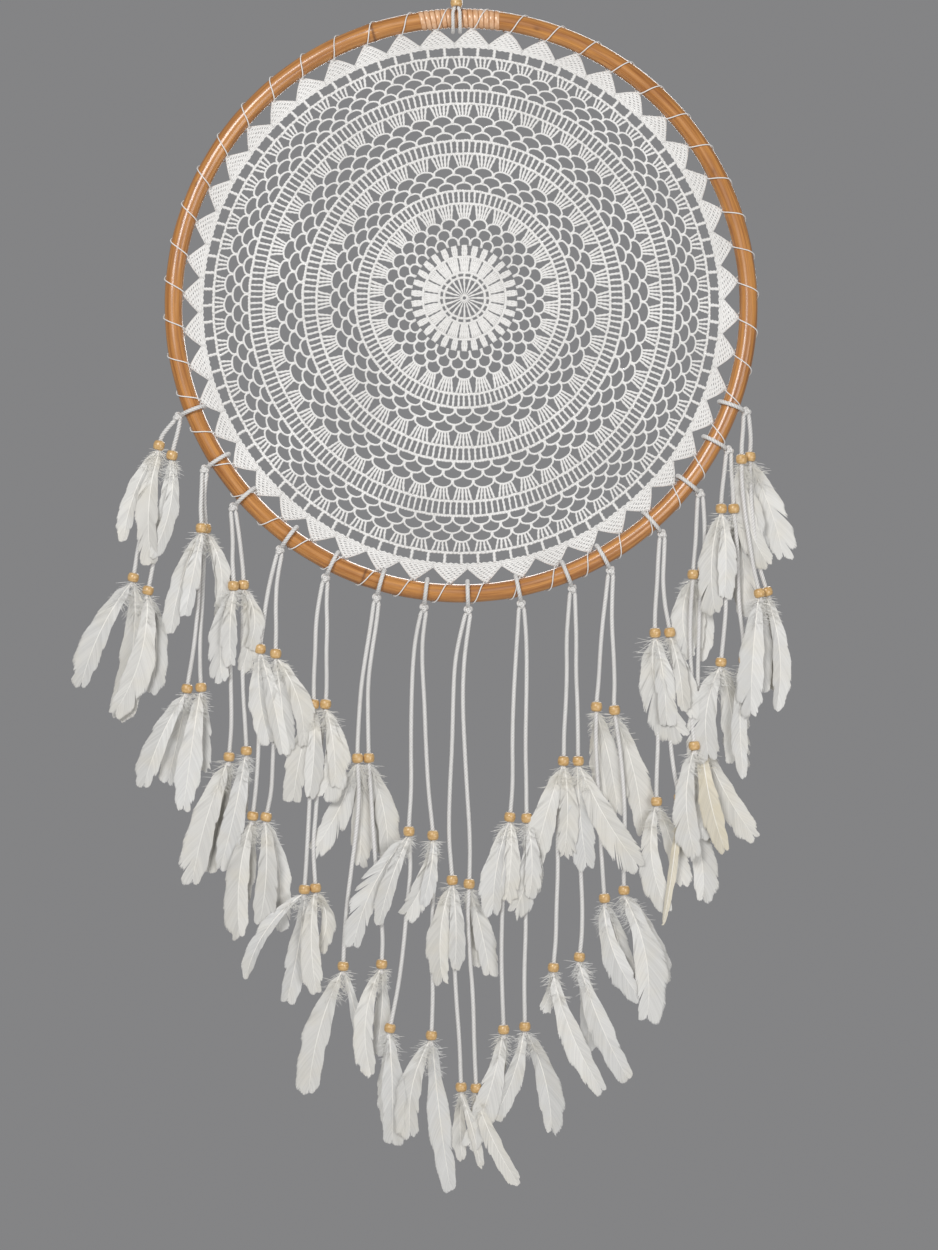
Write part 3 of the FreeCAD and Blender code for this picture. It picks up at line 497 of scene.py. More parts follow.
def grain_group() -> bpy.types.NodeTree:
    """Make the grain that cane, its binding and the wooden beads share.

    Returns:
        A group that gives a colour, a roughness and a normal from a stretched vector.
    """
    tree = make_group(
        "Grain",
        "ShaderNodeTree",
        {"Vector": "Vector", "Light": "Color", "Dark": "Color", "Scale": "Float", "Depth": "Float"},
        {"Color": "Color", "Roughness": "Float", "Normal": "Vector"},
    )
    w = Wiring(tree)
    given = tree.nodes["Group Input"].outputs
    streak = w.add("ShaderNodeTexNoise", None, Vector=given["Vector"], Scale=given["Scale"], Detail=5.0)
    fine = w.add(
        "ShaderNodeTexNoise",
        None,
        Vector=given["Vector"],
        Scale=w.math("MULTIPLY", given["Scale"], 4.0),
        Detail=3.0,
    )
    both = w.math("ADD", w.math("MULTIPLY", streak, 0.7), w.math("MULTIPLY", fine, 0.3))
    share = w.spread(both, 0.36, 0.66)
    bump = w.add("ShaderNodeBump", None, Height=both, Strength=given["Depth"], Distance=0.4 * MM)
    rough = w.add("ShaderNodeMapRange", None, Value=both, To_Min=0.24, To_Max=0.46)
    w.give(Color=w.mixed(share, given["Light"], given["Dark"]), Roughness=rough, Normal=bump)
    return tree


def fibre_group() -> bpy.types.NodeTree:
    """Make the cotton fibres that the cord, the thread and the crochet share.

    Returns:
        A group that gives a colour with random worn patches and painted shade in the grooves between plies,
        and a fuzzy normal.
    """
    tree = make_group(
        "Cotton fibres",
        "ShaderNodeTree",
        {"Light": "Color", "Dark": "Color", "Groove": "Float", "Scale": "Float", "Depth": "Float"},
        {"Color": "Color", "Normal": "Vector"},
    )
    w = Wiring(tree)
    given = tree.nodes["Group Input"].outputs
    place = w.add("ShaderNodeTexCoord").outputs["Object"]
    fuzz = w.add("ShaderNodeTexNoise", None, Vector=place, Scale=given["Scale"], Detail=4.0, Roughness=0.7)
    soil = w.add("ShaderNodeTexNoise", None, Vector=place, Scale=14.0, Detail=2.0)
    shade = w.math("ADD", w.math("MULTIPLY", fuzz, 0.55), w.math("MULTIPLY", soil, 0.45))
    worn = w.spread(shade, 0.35, 0.68)
    # painted shade in the grooves between plies, mixed with the random worn patches from the noise
    dark = w.math("MAXIMUM", w.math("MULTIPLY", worn, 0.55), w.math("SUBTRACT", 1.0, given["Groove"]))
    bump = w.add("ShaderNodeBump", None, Height=fuzz, Strength=given["Depth"], Distance=0.3 * MM)
    w.give(Color=w.mixed(dark, given["Light"], given["Dark"]), Normal=bump)
    return tree


@dataclass(frozen=True)
class Cotton:
    """White twisted cotton.

    Attributes:
        name: The material's name.
        light: The colour on the crowns.
        dark: The colour of the random worn patches, and the painted shade in the grooves between plies.
        scale: Fibres to the metre.
        depth: How strongly the fibres stand out.
    """

    name: str
    light: Colour
    dark: Colour
    scale: float
    depth: float

    def make(self, fibres: bpy.types.NodeTree) -> bpy.types.Material:
        """Build the material.

        Args:
            fibres: The shared cotton group.

        Returns:
            The material.
        """
        material, w, skin = blank(self.name)
        # painted shade: darkens the cotton in the grooves between plies
        groove = w.add("ShaderNodeAttribute", {"attribute_name": "groove"}).outputs["Fac"]
        cotton = w.add(
            "ShaderNodeGroup",
            {"node_tree": fibres},
            Light=self.light,
            Dark=self.dark,
            Groove=groove,
            Scale=self.scale,
            Depth=self.depth,
        )
        w.fill(skin, Base_Color=cotton.outputs["Color"], Normal=cotton.outputs["Normal"])
        skin.inputs["Roughness"].default_value = 0.85
        skin.inputs["Sheen Weight"].default_value = 0.25
        skin.inputs["Specular IOR Level"].default_value = 0.25
        return material


@dataclass(frozen=True)
class Grained:
    """Varnished cane or wood.

    Attributes:
        name: The material's name.
        light: The paler grain.
        dark: The darker grain.
        scale: Size of the grain.
        stretch: How the grain's vector is stretched along and across.
        coat: Weight of the varnish.
        burn: The colour of growth rings and bruises, where the piece has any.
    """

    name: str
    light: Colour
    dark: Colour
    scale: float
    stretch: Row
    coat: float
    burn: Colour | None = None

    def make(self, grain: bpy.types.NodeTree) -> bpy.types.Material:
        """Build the material.

        Args:
            grain: The shared grain group.

        Returns:
            The material.
        """
        material, w, skin = blank(self.name)
        place = w.add("ShaderNodeTexCoord").outputs["UV" if self.burn else "Object"]
        along = w.vector("MULTIPLY", place, self.stretch)
        wood = w.add(
            "ShaderNodeGroup",
            {"node_tree": grain},
            Vector=along,
            Light=self.light,
            Dark=self.dark,
            Scale=self.scale,
            Depth=0.35,
        )
        colour = wood.outputs["Color"]
        if self.burn:
            mark = w.add("ShaderNodeAttribute", {"attribute_name": "mark"}).outputs["Fac"]
            colour = w.mixed(mark, colour, self.burn)
            patch = w.add("ShaderNodeTexNoise", None, Vector=place, Scale=7.0, Detail=3.0)
            weathered = w.math("MULTIPLY", w.spread(patch, 0.48, 0.72), 0.55)
            colour = w.mixed(weathered, colour, self.dark)
        w.fill(skin, Base_Color=colour, Roughness=wood.outputs["Roughness"], Normal=wood.outputs["Normal"])
        skin.inputs["Coat Weight"].default_value = self.coat
        skin.inputs["Coat Roughness"].default_value = 0.14
        return material


@dataclass(frozen=True)
class Plumage:
    """Feather barbs or quills.

    Attributes:
        name: The material's name.
        white: The usual colour.
        cream: The colour of the stained ones.
        rough: Roughness.
    """

    name: str
    white: Colour
    cream: Colour
    rough: float

    def make(self) -> bpy.types.Material:
        """Build the material.

        Returns:
            The material.
        """
        material, w, skin = blank(self.name)
        tint = w.add("ShaderNodeAttribute", {"attribute_name": "tint"}).outputs["Fac"]
        shade = w.add("ShaderNodeAttribute", {"attribute_name": "shade"}).outputs["Fac"]
        place = w.add("ShaderNodeTexCoord").outputs["Object"]
        cloud = w.add("ShaderNodeTexNoise", None, Vector=place, Scale=45.0, Detail=3.0)
        stain = w.math("ADD", tint, w.math("MULTIPLY", w.spread(cloud, 0.45, 0.8), 0.25))
        colour = w.mixed(stain, self.white, self.cream)
        grey = w.mixed(shade, colour, (0.52, 0.52, 0.52), "MULTIPLY")
        fine = w.add("ShaderNodeTexNoise", None, Vector=place, Scale=2200.0, Detail=2.0)
        bump = w.add("ShaderNodeBump", None, Height=fine, Strength=0.15, Distance=0.1 * MM)
        w.fill(skin, Base_Color=grey, Normal=bump)
        skin.inputs["Roughness"].default_value = self.rough
        skin.inputs["Sheen Weight"].default_value = 0.2
        return material


def blank(name: str) -> tuple[bpy.types.Material, Wiring, bpy.types.Node]:
    """Start a material.

    Args:
        name: Its name.

    Returns:
        The material, its wiring and its Principled node.
    """
    material = bpy.data.materials.new(name)
    material.use_nodes = True
    return material, Wiring(material.node_tree), material.node_tree.nodes["Principled BSDF"]


class Finishes:
    """Every material, made once."""

    def __init__(self) -> None:
        grain = grain_group()
        fibres = fibre_group()
        self.cane = Grained(
            "Varnished rattan", (0.63, 0.285, 0.072), (0.30, 0.105, 0.022), 1.0, (9.0, 16.0, 1.0), 0.6,
            (0.10, 0.035, 0.012),
        ).make(grain)
        self.binding = Grained(
            "Cane strip", (0.80, 0.50, 0.30), (0.60, 0.29, 0.12), 110.0, (1.0, 0.35, 1.0), 0.5
        ).make(grain)
        self.wood = Grained(
            "Bead wood", (0.74, 0.50, 0.23), (0.50, 0.28, 0.09), 170.0, (1.0, 1.0, 4.0), 0.35
        ).make(grain)
        # the second colour is the random worn tone and the painted shade in the grooves between plies
        self.cord = Cotton("Cotton cord", (0.86, 0.85, 0.83), (0.38, 0.36, 0.34), 900.0, 0.6).make(fibres)
        self.thread = Cotton(
            "Crochet cotton", (0.88, 0.87, 0.85), (0.60, 0.58, 0.55), 1400.0, 0.4
        ).make(fibres)
        self.barb = Plumage("Feather barbs", (0.76, 0.755, 0.735), (0.76, 0.68, 0.50), 0.5).make()
        self.quill = Plumage("Quills", (0.90, 0.88, 0.83), (0.82, 0.74, 0.58), 0.35).make()


# ------------------------------------------------------------------ mesh helpers


def mesh_object(name: str, mesh: bpy.types.Mesh) -> bpy.types.Object:
    """Put a mesh into the scene.

    Args:
        name: The object's name.
        mesh: Its mesh.

    Returns:
        The object, at the origin.
    """
    thing = bpy.data.objects.new(name, mesh)
    bpy.context.scene.collection.objects.link(thing)
    return thing


def fit(piece: bpy.types.Object, body: str, node: str) -> bpy.types.Object:
    """Ride a piece on a body in place of its plain solid.

    Args:
        piece: The piece.
        body: The body.
        node: The solid.

    Returns:
        The piece.
    """
    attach(piece, body)
    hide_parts(node)
    LOG.info("%s: %d faces", piece.name, len(piece.data.polygons))
    return piece


def drop(thing: bpy.types.Object) -> None:
    """Take a helper object out of the scene with its data.

    Args:
        thing: The object.
    """
    data = thing.data
    bpy.data.objects.remove(thing)
    if isinstance(data, bpy.types.Mesh):
        bpy.data.meshes.remove(data)
    else:
        bpy.data.curves.remove(data)


def smooth(mesh: bpy.types.Mesh) -> bpy.types.Mesh:
    """Shade every face smooth.

    Args:
        mesh: The mesh.

    Returns:
        The same mesh.
    """
    mesh.polygons.foreach_set("use_smooth", [True] * len(mesh.polygons))
    mesh.update()
    return mesh


def polar(radius: float, angle: float, depth: float = 0.0) -> Vector:
    """Place a point by the hoop's own angle, from the hoop's centre.

    Args:
        radius: Distance from the centre.
        angle: Radians from straight down towards +X.
        depth: Distance behind the hoop's plane.

    Returns:
        The point.
    """
    return Vector((radius * math.sin(angle), depth, -radius * math.cos(angle)))


def frames(points: Sequence[Vector], closed: bool) -> list[tuple[Vector, Vector]]:
    """Carry a side vector along a line without twisting it.

    Args:
        points: The line.
        closed: Whether its last point leads back to its first.

    Returns:
        Two unit vectors across the line at each point.
    """
    count = len(points)
    tangents = []
    for i in range(count):
        before = points[i - 1] if closed or i else points[0]
        after = points[(i + 1) % count] if closed or i < count - 1 else points[-1]
        tangents.append((after - before).normalized())
    side = tangents[0].cross(Vector((0, 1, 0)))
    if side.length < 0.1:
        side = tangents[0].cross(Vector((1, 0, 0)))
    found = []
    for tangent in tangents:
        side = (side - tangent * side.dot(tangent)).normalized()
        found.append((side.copy(), tangent.cross(side)))
    return found


def skin_rings(rings: list[list[Vector]], closed: bool) -> tuple[list[Vector], list[tuple[int, ...]]]:
    """Join rings of points into a closed skin.

    Args:
        rings: Rings of equal length, each turning the same way.
        closed: Whether the last ring joins the first; otherwise both ends get caps.

    Returns:
        Vertices and faces.
    """
    sides = len(rings[0])
    vertices = [p for ring in rings for p in ring]
    faces: list[tuple[int, ...]] = []
    for i in range(len(rings) if closed else len(rings) - 1):
        a, b = i * sides, (i + 1) % len(rings) * sides
        faces += [(a + k, a + (k + 1) % sides, b + (k + 1) % sides, b + k) for k in range(sides)]
    if not closed:
        last = (len(rings) - 1) * sides
        faces.append(tuple(range(sides))[::-1])
        faces.append(tuple(last + k for k in range(sides)))
    return vertices, faces


@dataclass(frozen=True)
class Rope:
    """Three plies of cotton laid into a cord.

    Attributes:
        radius: To the crown of a ply.
        pitch: Length of one full turn of the lay.
        sides: Points round the rope, a multiple of its plies.
        valley: Radius between two plies, as a share of the full one.
        plies: How many are laid together.
    """

    radius: float
    pitch: float
    sides: int = 15
    valley: float = 0.58
    plies: int = 3

    def mesh(self, name: str, points: Sequence[Vector], closed: bool = False) -> bpy.types.Mesh:
        """Lay the rope along a line.

        Args:
            name: The mesh's name.
            points: The line, with points no further apart than a sixth of the pitch.
            closed: Whether the rope is an endless ring.

        Returns:
            The mesh, with a painted-shade value of 1 on the crowns and less in the grooves between the plies.
        """
        count = len(points)
        lengths = [0.0]
        for a, b in zip(points, points[1:]):
            lengths.append(lengths[-1] + (b - a).length)
        whole = lengths[-1] + ((points[0] - points[-1]).length if closed else 0.0)
        turns = whole / self.pitch
        if closed:
            turns = max(1, round(turns * self.plies)) / self.plies
        rings, groove = [], []
        for i, (side, up) in enumerate(frames(points, closed)):
            lay = TURN * turns * lengths[i] / whole
            end = 1.0 if closed else min(1.0, 0.55 + 0.45 * min(i, count - 1 - i) / 2)
            ring = []
            for k in range(self.sides):
                around = TURN * k / self.sides
                crown = abs(math.cos(self.plies * (around - lay) / 2)) ** 0.8
                reach = self.radius * end * (self.valley + (1 - self.valley) * crown)
                ring.append(points[i] + side * reach * math.cos(around) + up * reach * math.sin(around))
                # painted shade: the mask that darkens the cotton in the grooves between plies, 1 on the
                # crowns
                groove.append(0.1 + 0.9 * crown)
            rings.append(ring)
        vertices, faces = skin_rings(rings, closed)
        mesh = bpy.data.meshes.new(name)
        mesh.from_pydata(vertices, [], faces)
        mesh.attributes.new("groove", "FLOAT", "POINT").data.foreach_set("value", groove)
        return smooth(mesh)


def spline_points(route: Sequence[Vector], resolution: int) -> list[Vector]:
    """Read a cord's line from a NURBS spline with the route as its control points.

    Args:
        route: The control points.
        resolution: Points read for each control point.

    Returns:
        The line's points.
    """
    curve = bpy.data.curves.new("route", "CURVE")
    curve.dimensions = "3D"
    curve.resolution_u = resolution
    spline = curve.splines.new("NURBS")
    spline.points.add(len(route) - 1)
    for point, place in zip(spline.points, route):
        point.co = (*place, 1.0)
    spline.order_u = 3
    spline.use_endpoint_u = True
    thing = bpy.data.objects.new("route", curve)
    mesh = bpy.data.meshes.new_from_object(thing)
    line = [v.co.copy() for v in mesh.vertices]
    bpy.data.meshes.remove(mesh)
    drop(thing)
    return line


# ------------------------------------------------------------------ geometry nodes

TURNING = {"Copies": "Int", "Step": "Float", "Phase": "Float", "Centre": "Vector"}


def copies_group() -> bpy.types.NodeTree:
    """Make the group that repeats a piece round the hoop's centre.

    Returns:
        A group with the copies, their step and first angle, and the centre as inputs.
    """
    tree = make_group(
        "Copies round a centre",
        "GeometryNodeTree",
        {"Geometry": "Geometry", **TURNING},
        {"Geometry": "Geometry"},
    )
    w = Wiring(tree)
    given = tree.nodes["Group Input"].outputs
    points = w.add("GeometryNodePoints", None, Count=given["Copies"], Position=given["Centre"])
    turned = w.math("MULTIPLY", w.add("GeometryNodeInputIndex"), given["Step"])
    angle = w.math("ADD", turned, given["Phase"])
    turn = w.add("FunctionNodeAxisAngleToRotation", None, Axis=(0.0, -1.0, 0.0), Angle=angle)
    copies = w.add(
        "GeometryNodeInstanceOnPoints", None, Points=points, Instance=given["Geometry"], Rotation=turn
    )
    w.give(Geometry=w.add("GeometryNodeRealizeInstances", None, Geometry=copies))
    return tree


def thread_tree(copies: bpy.types.NodeTree) -> bpy.types.NodeTree:
    """Make the tree that turns lines into threads and repeats them round the hoop.

    Args:
        copies: The group that repeats a piece.

    Returns:
        The tree.
    """
    tree = make_group(
        "Threads round a centre",
        "GeometryNodeTree",
        {
            "Geometry": "Geometry", **TURNING, "Sides": "Int", "Unevenness": "Float", "Seed": "Float",
            "Pull": "Vector", "Rim": "Float", "Material": "Material",
        },
        {"Geometry": "Geometry"},
    )
    w = Wiring(tree)
    given = tree.nodes["Group Input"].outputs
    lines = w.add("GeometryNodeMeshToCurve", None, Mesh=given["Geometry"])
    thick = w.add("GeometryNodeInputNamedAttribute", {"data_type": "FLOAT"}, Name="thickness")
    profile = w.add("GeometryNodeCurvePrimitiveCircle", None, Resolution=given["Sides"], Radius=1.0)
    tubes = w.add(
        "GeometryNodeCurveToMesh", None, Curve=lines, Profile_Curve=profile, Scale=thick, Fill_Caps=True
    )
    round_it = w.add(
        "GeometryNodeGroup", {"node_tree": copies}, Geometry=tubes, **{name: given[name] for name in TURNING}
    )
    place = w.add("GeometryNodeInputPosition")
    noise = w.add(
        "ShaderNodeTexNoise",
        {"noise_dimensions": "4D"},
        Vector=place,
        W=given["Seed"],
        Scale=130.0,
        Detail=1.0,
    )
    wander = w.scaled(w.vector("SUBTRACT", noise.outputs["Color"], (0.5, 0.5, 0.5)), given["Unevenness"])
    away = w.vector("LENGTH", w.vector("SUBTRACT", place, given["Centre"])).outputs["Value"]
    share = w.math("POWER", w.math("DIVIDE", away, given["Rim"]), 2.0)
    hold = w.math("MAXIMUM", w.math("SUBTRACT", 1.0, share), 0.0)
    moved = w.add(
        "GeometryNodeSetPosition",
        None,
        Geometry=round_it,
        Offset=w.vector("ADD", wander, w.scaled(given["Pull"], hold)),
    )
    soft = w.add("GeometryNodeSetShadeSmooth", None, Geometry=moved)
    done = w.add("GeometryNodeSetMaterial", None, Geometry=soft, Material=given["Material"])
    w.give(Geometry=done)
    return tree


def turned_tree(copies: bpy.types.NodeTree) -> bpy.types.NodeTree:
    """Make the tree that repeats a ready piece round the hoop.

    Args:
        copies: The group that repeats a piece.

    Returns:
        The tree.
    """
    sockets = {"Geometry": "Geometry", **TURNING, "Material": "Material"}
    tree = make_group("Pieces round a centre", "GeometryNodeTree", sockets, {"Geometry": "Geometry"})
    w = Wiring(tree)
    given = tree.nodes["Group Input"].outputs
    round_it = w.add(
        "GeometryNodeGroup", {"node_tree": copies}, Geometry=given["Geometry"],
        **{name: given[name] for name in TURNING},
    )
    done = w.add("GeometryNodeSetMaterial", None, Geometry=round_it, Material=given["Material"])
    w.give(Geometry=done)
    return tree


def scatter_tree() -> bpy.types.NodeTree:
    """Make the tree that sets a piece on points, each with its own turn and size.

    Returns:
        The tree. Its points carry "turn" and "reach" vectors, and Also is an object that joins them.
    """
    tree = make_group(
        "Pieces at points",
        "GeometryNodeTree",
        {"Geometry": "Geometry", "Piece": "Object", "Also": "Object", "Material": "Material"},
        {"Geometry": "Geometry"},
    )
    w = Wiring(tree)
    given = tree.nodes["Group Input"].outputs
    piece = w.add("GeometryNodeObjectInfo", None, Object=given["Piece"]).outputs["Geometry"]
    also = w.add("GeometryNodeObjectInfo", None, Object=given["Also"]).outputs["Geometry"]
    turn = w.add("GeometryNodeInputNamedAttribute", {"data_type": "FLOAT_VECTOR"}, Name="turn")
    reach = w.add("GeometryNodeInputNamedAttribute", {"data_type": "FLOAT_VECTOR"}, Name="reach")
    placed = w.add(
        "GeometryNodeInstanceOnPoints",
        None,
        Points=given["Geometry"],
        Instance=piece,
        Rotation=w.add("FunctionNodeEulerToRotation", None, Euler=turn),
        Scale=reach,
    )
    real = w.add("GeometryNodeRealizeInstances", None, Geometry=placed)
    dressed = w.add("GeometryNodeSetMaterial", None, Geometry=real, Material=given["Material"])
    whole = w.add("GeometryNodeJoinGeometry")
    w.feed(whole.inputs[0], dressed)
    w.feed(whole.inputs[0], also)
    w.give(Geometry=whole)
    return tree


def grown(
    name: str, base: bpy.types.Mesh, tree: bpy.types.NodeTree, inputs: dict[str, object]
) -> bpy.types.Mesh:
    """Run a tree on a base mesh and keep its result as a plain mesh.

    Args:
        name: The result's name.
        base: The mesh the tree starts from.
        tree: The tree.
        inputs: Its inputs by name.

    Returns:
        The plain mesh.
    """
    thing = mesh_object("base", base)
    modifier = thing.modifiers.new("grow", "NODES")
    modifier.node_group = tree
    for item in tree.interface.items_tree:
        if item.item_type == "SOCKET" and item.in_out == "INPUT" and item.name in inputs:
            modifier[item.identifier] = inputs[item.name]
    thing.update_tag()
    graph = bpy.context.evaluated_depsgraph_get()
    shown = thing.evaluated_get(graph)
    result = bpy.data.meshes.new_from_object(shown, preserve_all_data_layers=True, depsgraph=graph)
    result.name = name
    thing.modifiers.remove(modifier)
    drop(thing)
    return result


# ------------------------------------------------------------------ crochet

Stitch = tuple[float, float, float, float]


@dataclass(frozen=True)
class Chain:
    """A braided ring of chain stitches.

    Attributes:
        radius: Of the ring, in millimetres.
        repeats: Copies round the doily.
        stitches: Chain stitches in one copy.
        thick: Thread radius.
    """

    radius: float
    repeats: int
    stitches: int = 2
    thick: float = 1.0

    def lines(self) -> list[list[Stitch]]:
        """Draw one copy.

        Returns:
            Lines of (radius, share of a copy, depth, thread radius).
        """
        steps = 4 * self.stitches
        ply = []
        for start in (0.0, math.pi):
            line = []
            for k in range(steps + 1):
                phase = start + math.pi * k / 2 + 0.6
                reach = self.radius + 0.6 * math.sin(phase)
                line.append((reach, k / steps - 0.5, 0.5 * math.cos(phase), self.thick))
            ply.append(line)
        return ply


@dataclass(frozen=True)
class Posts:
    """Tall stitches standing side by side, as a ladder, a fan or a cluster.

    Attributes:
        inner: Radius at their feet, in millimetres.
        outer: Radius at their heads.
        repeats: Copies round the doily.
        count: Stitches in a copy.
        gather: Share of the copy that the feet take.
        spread: Share that the heads take.
        belly: How far the middle swells sideways, as a share of the copy.
        foot: Thread radius at the foot.
        head: Thread radius at the head.
    """

    inner: float
    outer: float
    repeats: int
    count: int = 1
    gather: float = 1.0
    spread: float = 1.0
    belly: float = 0.0
    foot: float = 0.9
    head: float = 0.9

    def lines(self) -> list[list[Stitch]]:
        """Draw one copy.

        Returns:
            Lines of (radius, share of a copy, depth, thread radius).
        """
        steps = 6
        drawn = []
        for i in range(self.count):
            place = (i + 0.5) / self.count - 0.5
            line = []
            for k in range(steps + 1):
                t = k / steps
                belly = self.belly * math.sin(math.pi * t)
                share = place * (self.gather + (self.spread - self.gather) * t + belly)
                knob = 1.0 + 0.16 * math.cos(math.pi * k)
                thick = (self.foot + (self.head - self.foot) * t) * knob
                reach = self.inner + (self.outer - self.inner) * t
                line.append((reach, share, 0.25 * math.sin(2.2 * k + i), thick))
            drawn.append(line)
        return drawn


@dataclass(frozen=True)
class Arches:
    """Rows of chain loops, each hung between the crowns of the row before.

    Attributes:
        inner: Radius at the first row's feet, in millimetres.
        outer: Radius at the last row's crowns.
        repeats: Loops in a row.
        rows: Rows of loops.
        thick: Thread radius.
    """

    inner: float
    outer: float
    repeats: int
    rows: int = 3
    thick: float = 1.05

    def lines(self) -> list[list[Stitch]]:
        """Draw one copy.

        Returns:
            Lines of (radius, share of a copy, depth, thread radius).
        """
        rise = (self.outer - self.inner) / self.rows
        half = (
            (0.02, 0.0, 1.35), (0.02, 0.42, 1.3), (0.10, 0.69, 1.0), (0.24, 0.88, 0.95), (0.42, 0.99, 1.1),
        )
        whole = [*half, *((1.0 - t, lift, swell) for t, lift, swell in half[::-1])]
        drawn = []
        for row in range(self.rows):
            foot = self.inner + rise * row
            middle = 0.5 * (row % 2)
            drawn.append([
                (foot + rise * lift, middle + t - 0.5, 0.4 * math.cos(math.pi * k + row), self.thick * swell)
                for k, (t, lift, swell) in enumerate(whole)
            ])
        return drawn


@dataclass(frozen=True)
class Tips:
    """The dense triangular points round the edge, each with an eyelet for the lacing.

    Attributes:
        inner: Radius where the dense rows begin, in millimetres.
        valley: Radius between two points.
        outer: Radius at a point's end.
        eyelet: Radius of the eyelet's centre.
        repeats: Points round the doily.
        rows: Rows of stitches from the beginning to the point.
        thick: Thread radius.
    """

    inner: float
    valley: float
    outer: float
    eyelet: float
    repeats: int = TIP_COUNT
    rows: int = 12
    thick: float = 0.95

    def lines(self) -> list[list[Stitch]]:
        """Draw one copy.

        Returns:
            Lines of (radius, share of a copy, depth, thread radius).
        """
        drawn = []
        for row in range(self.rows):
            reach = self.inner + (self.outer - 1.2 - self.inner) * row / (self.rows - 1)
            half = 0.5 * min(1.0, (self.outer - reach) / (self.outer - self.valley))
            steps = max(2, round(12 * 2 * half))
            line = []
            for k in range(steps + 1):
                wave = 0.5 if k % 2 else -0.5
                line.append((reach + wave, half * (2 * k / steps - 1), 0.45 * wave, self.thick))
            drawn.append(line)
        for hand in (-1.0, 1.0):
            drawn.append([
                (self.valley, 0.5 * hand, 0.0, 0.6),
                ((self.valley + self.outer) / 2, 0.25 * hand, 0.0, 0.7),
                (self.outer - 0.6, 0.02 * hand, 0.0, 0.6),
            ])
        wide = 1.25 * self.repeats / (TURN * self.eyelet)
        ring = [
            (self.eyelet + 1.2 * math.cos(TURN * k / 8), wide * math.sin(TURN * k / 8), 0.0, 0.5)
            for k in range(9)
        ]
        return [*drawn, ring]


@dataclass(frozen=True)
class Round:
    """A run of rounds that makes one piece of the doily.

    Attributes:
        name: The piece's name.
        stitches: The rounds from the middle outwards.
        inner: Radius where the piece begins, in millimetres. Not used.
        outer: Radius where it ends. Not used.
        sides: Points round a thread.
    """

    name: str
    stitches: tuple[Chain | Posts | Arches | Tips, ...]
    inner: float
    outer: float
    sides: int


ROUNDS = (
    Round("doily_middle", (
        Chain(2.6, 10, 1, 0.55),
        Posts(3.0, 19.5, 20, foot=0.5, head=1.3),
        Chain(20.5, 20, 2),
        Posts(21.0, 25.0, 20, foot=1.4, head=1.4),
        Chain(25.5, 20, 3),
        Posts(26.0, 40.5, 20, 5, 0.84, 0.86, foot=0.95, head=1.25),
        Chain(41.5, 30, 3),
        Posts(42.0, 53.0, 30, 3, 0.55, 0.42, 0.15, 1.15, 1.25),
        Arches(53.0, 81.0, 30),
        Posts(80.5, 94.5, 30, 5, 0.60, 0.98, foot=1.05, head=1.3),
        Chain(95.5, 60, 2),
    ), 0.0, 96.5, 6),
    Round("doily_rounds", (
        Posts(96.0, 107.5, 120, foot=1.1, head=1.25),
        Chain(108.5, 60, 2),
        Arches(109.0, 133.5, 40),
        Posts(133.0, 146.0, 40, 5, 0.60, 0.98, foot=1.05, head=1.3),
        Chain(147.0, 54, 3),
        Posts(147.5, 159.5, 162, foot=1.1, head=1.25),
        Chain(160.5, 54, 3),
        Arches(161.0, 186.5, 54),
        Posts(186.0, 198.0, 54, 5, 0.60, 0.98, foot=1.05, head=1.3),
    ), 96.5, 198.5, 6),
    Round("doily_edge", (
        Chain(199.0, 72, 3),
        Posts(199.5, 212.0, 216, foot=1.1, head=1.25),
        Chain(213.0, 72, 3),
        Arches(213.5, 237.5, 72),
        Posts(237.0, 247.0, 72, 4, 0.62, 0.98, foot=1.1, head=1.3),
        Chain(248.0, 96, 2),
        Posts(248.5, 258.5, 96, foot=1.7, head=1.7),
        Tips(258.5, 262.5, 278.4, 276.3),
    ), 198.5, 277.5, 5),
)


def line_mesh(lines: Iterable[Sequence[Stitch]], turn: float) -> bpy.types.Mesh:
    """Put polar lines into a mesh of edges with a thickness at each point.

    Args:
        lines: Lines of (radius, share of a copy, depth, thread radius) in millimetres.
        turn: Radians that one copy takes.

    Returns:
        The mesh, round the origin.
    """
    vertices, edges, thick = [], [], []
    for line in lines:
        first = len(vertices)
        edges += [(first + k, first + k + 1) for k in range(len(line) - 1)]
        for reach, share, depth, radius in line:
            vertices.append(polar(reach * MM, share * turn, depth * MM))
            thick.append(radius * MM)
    mesh = bpy.data.meshes.new("lines")
    mesh.from_pydata(vertices, edges, [])
    mesh.attributes.new("thickness", "FLOAT", "POINT").data.foreach_set("value", thick)
    return mesh


def joined(name: str, meshes: Sequence[bpy.types.Mesh], material: bpy.types.Material) -> bpy.types.Object:
    """Join plain meshes of one material into a piece.

    Args:
        name: The piece's name.
        meshes: The meshes.
        material: Their material.

    Returns:
        The piece.
    """
    vertices, faces, groove = [], [], []
    for mesh in meshes:
        first = len(vertices)
        vertices += [v.co.copy() for v in mesh.vertices]
        faces += [tuple(first + i for i in p.vertices) for p in mesh.polygons]
        # the painted shade of the grooves between plies; a mesh without plies gets none
        crowns = mesh.attributes.get("groove")
        groove += [d.value for d in crowns.data] if crowns else [1.0] * len(mesh.vertices)
    whole = bpy.data.meshes.new(name)
    whole.from_pydata(vertices, [], faces)
    whole.attributes.new("groove", "FLOAT", "POINT").data.foreach_set("value", groove)
    whole.materials.append(material)
    for mesh in meshes:
        bpy.data.meshes.remove(mesh)
    return mesh_object(name, smooth(whole))


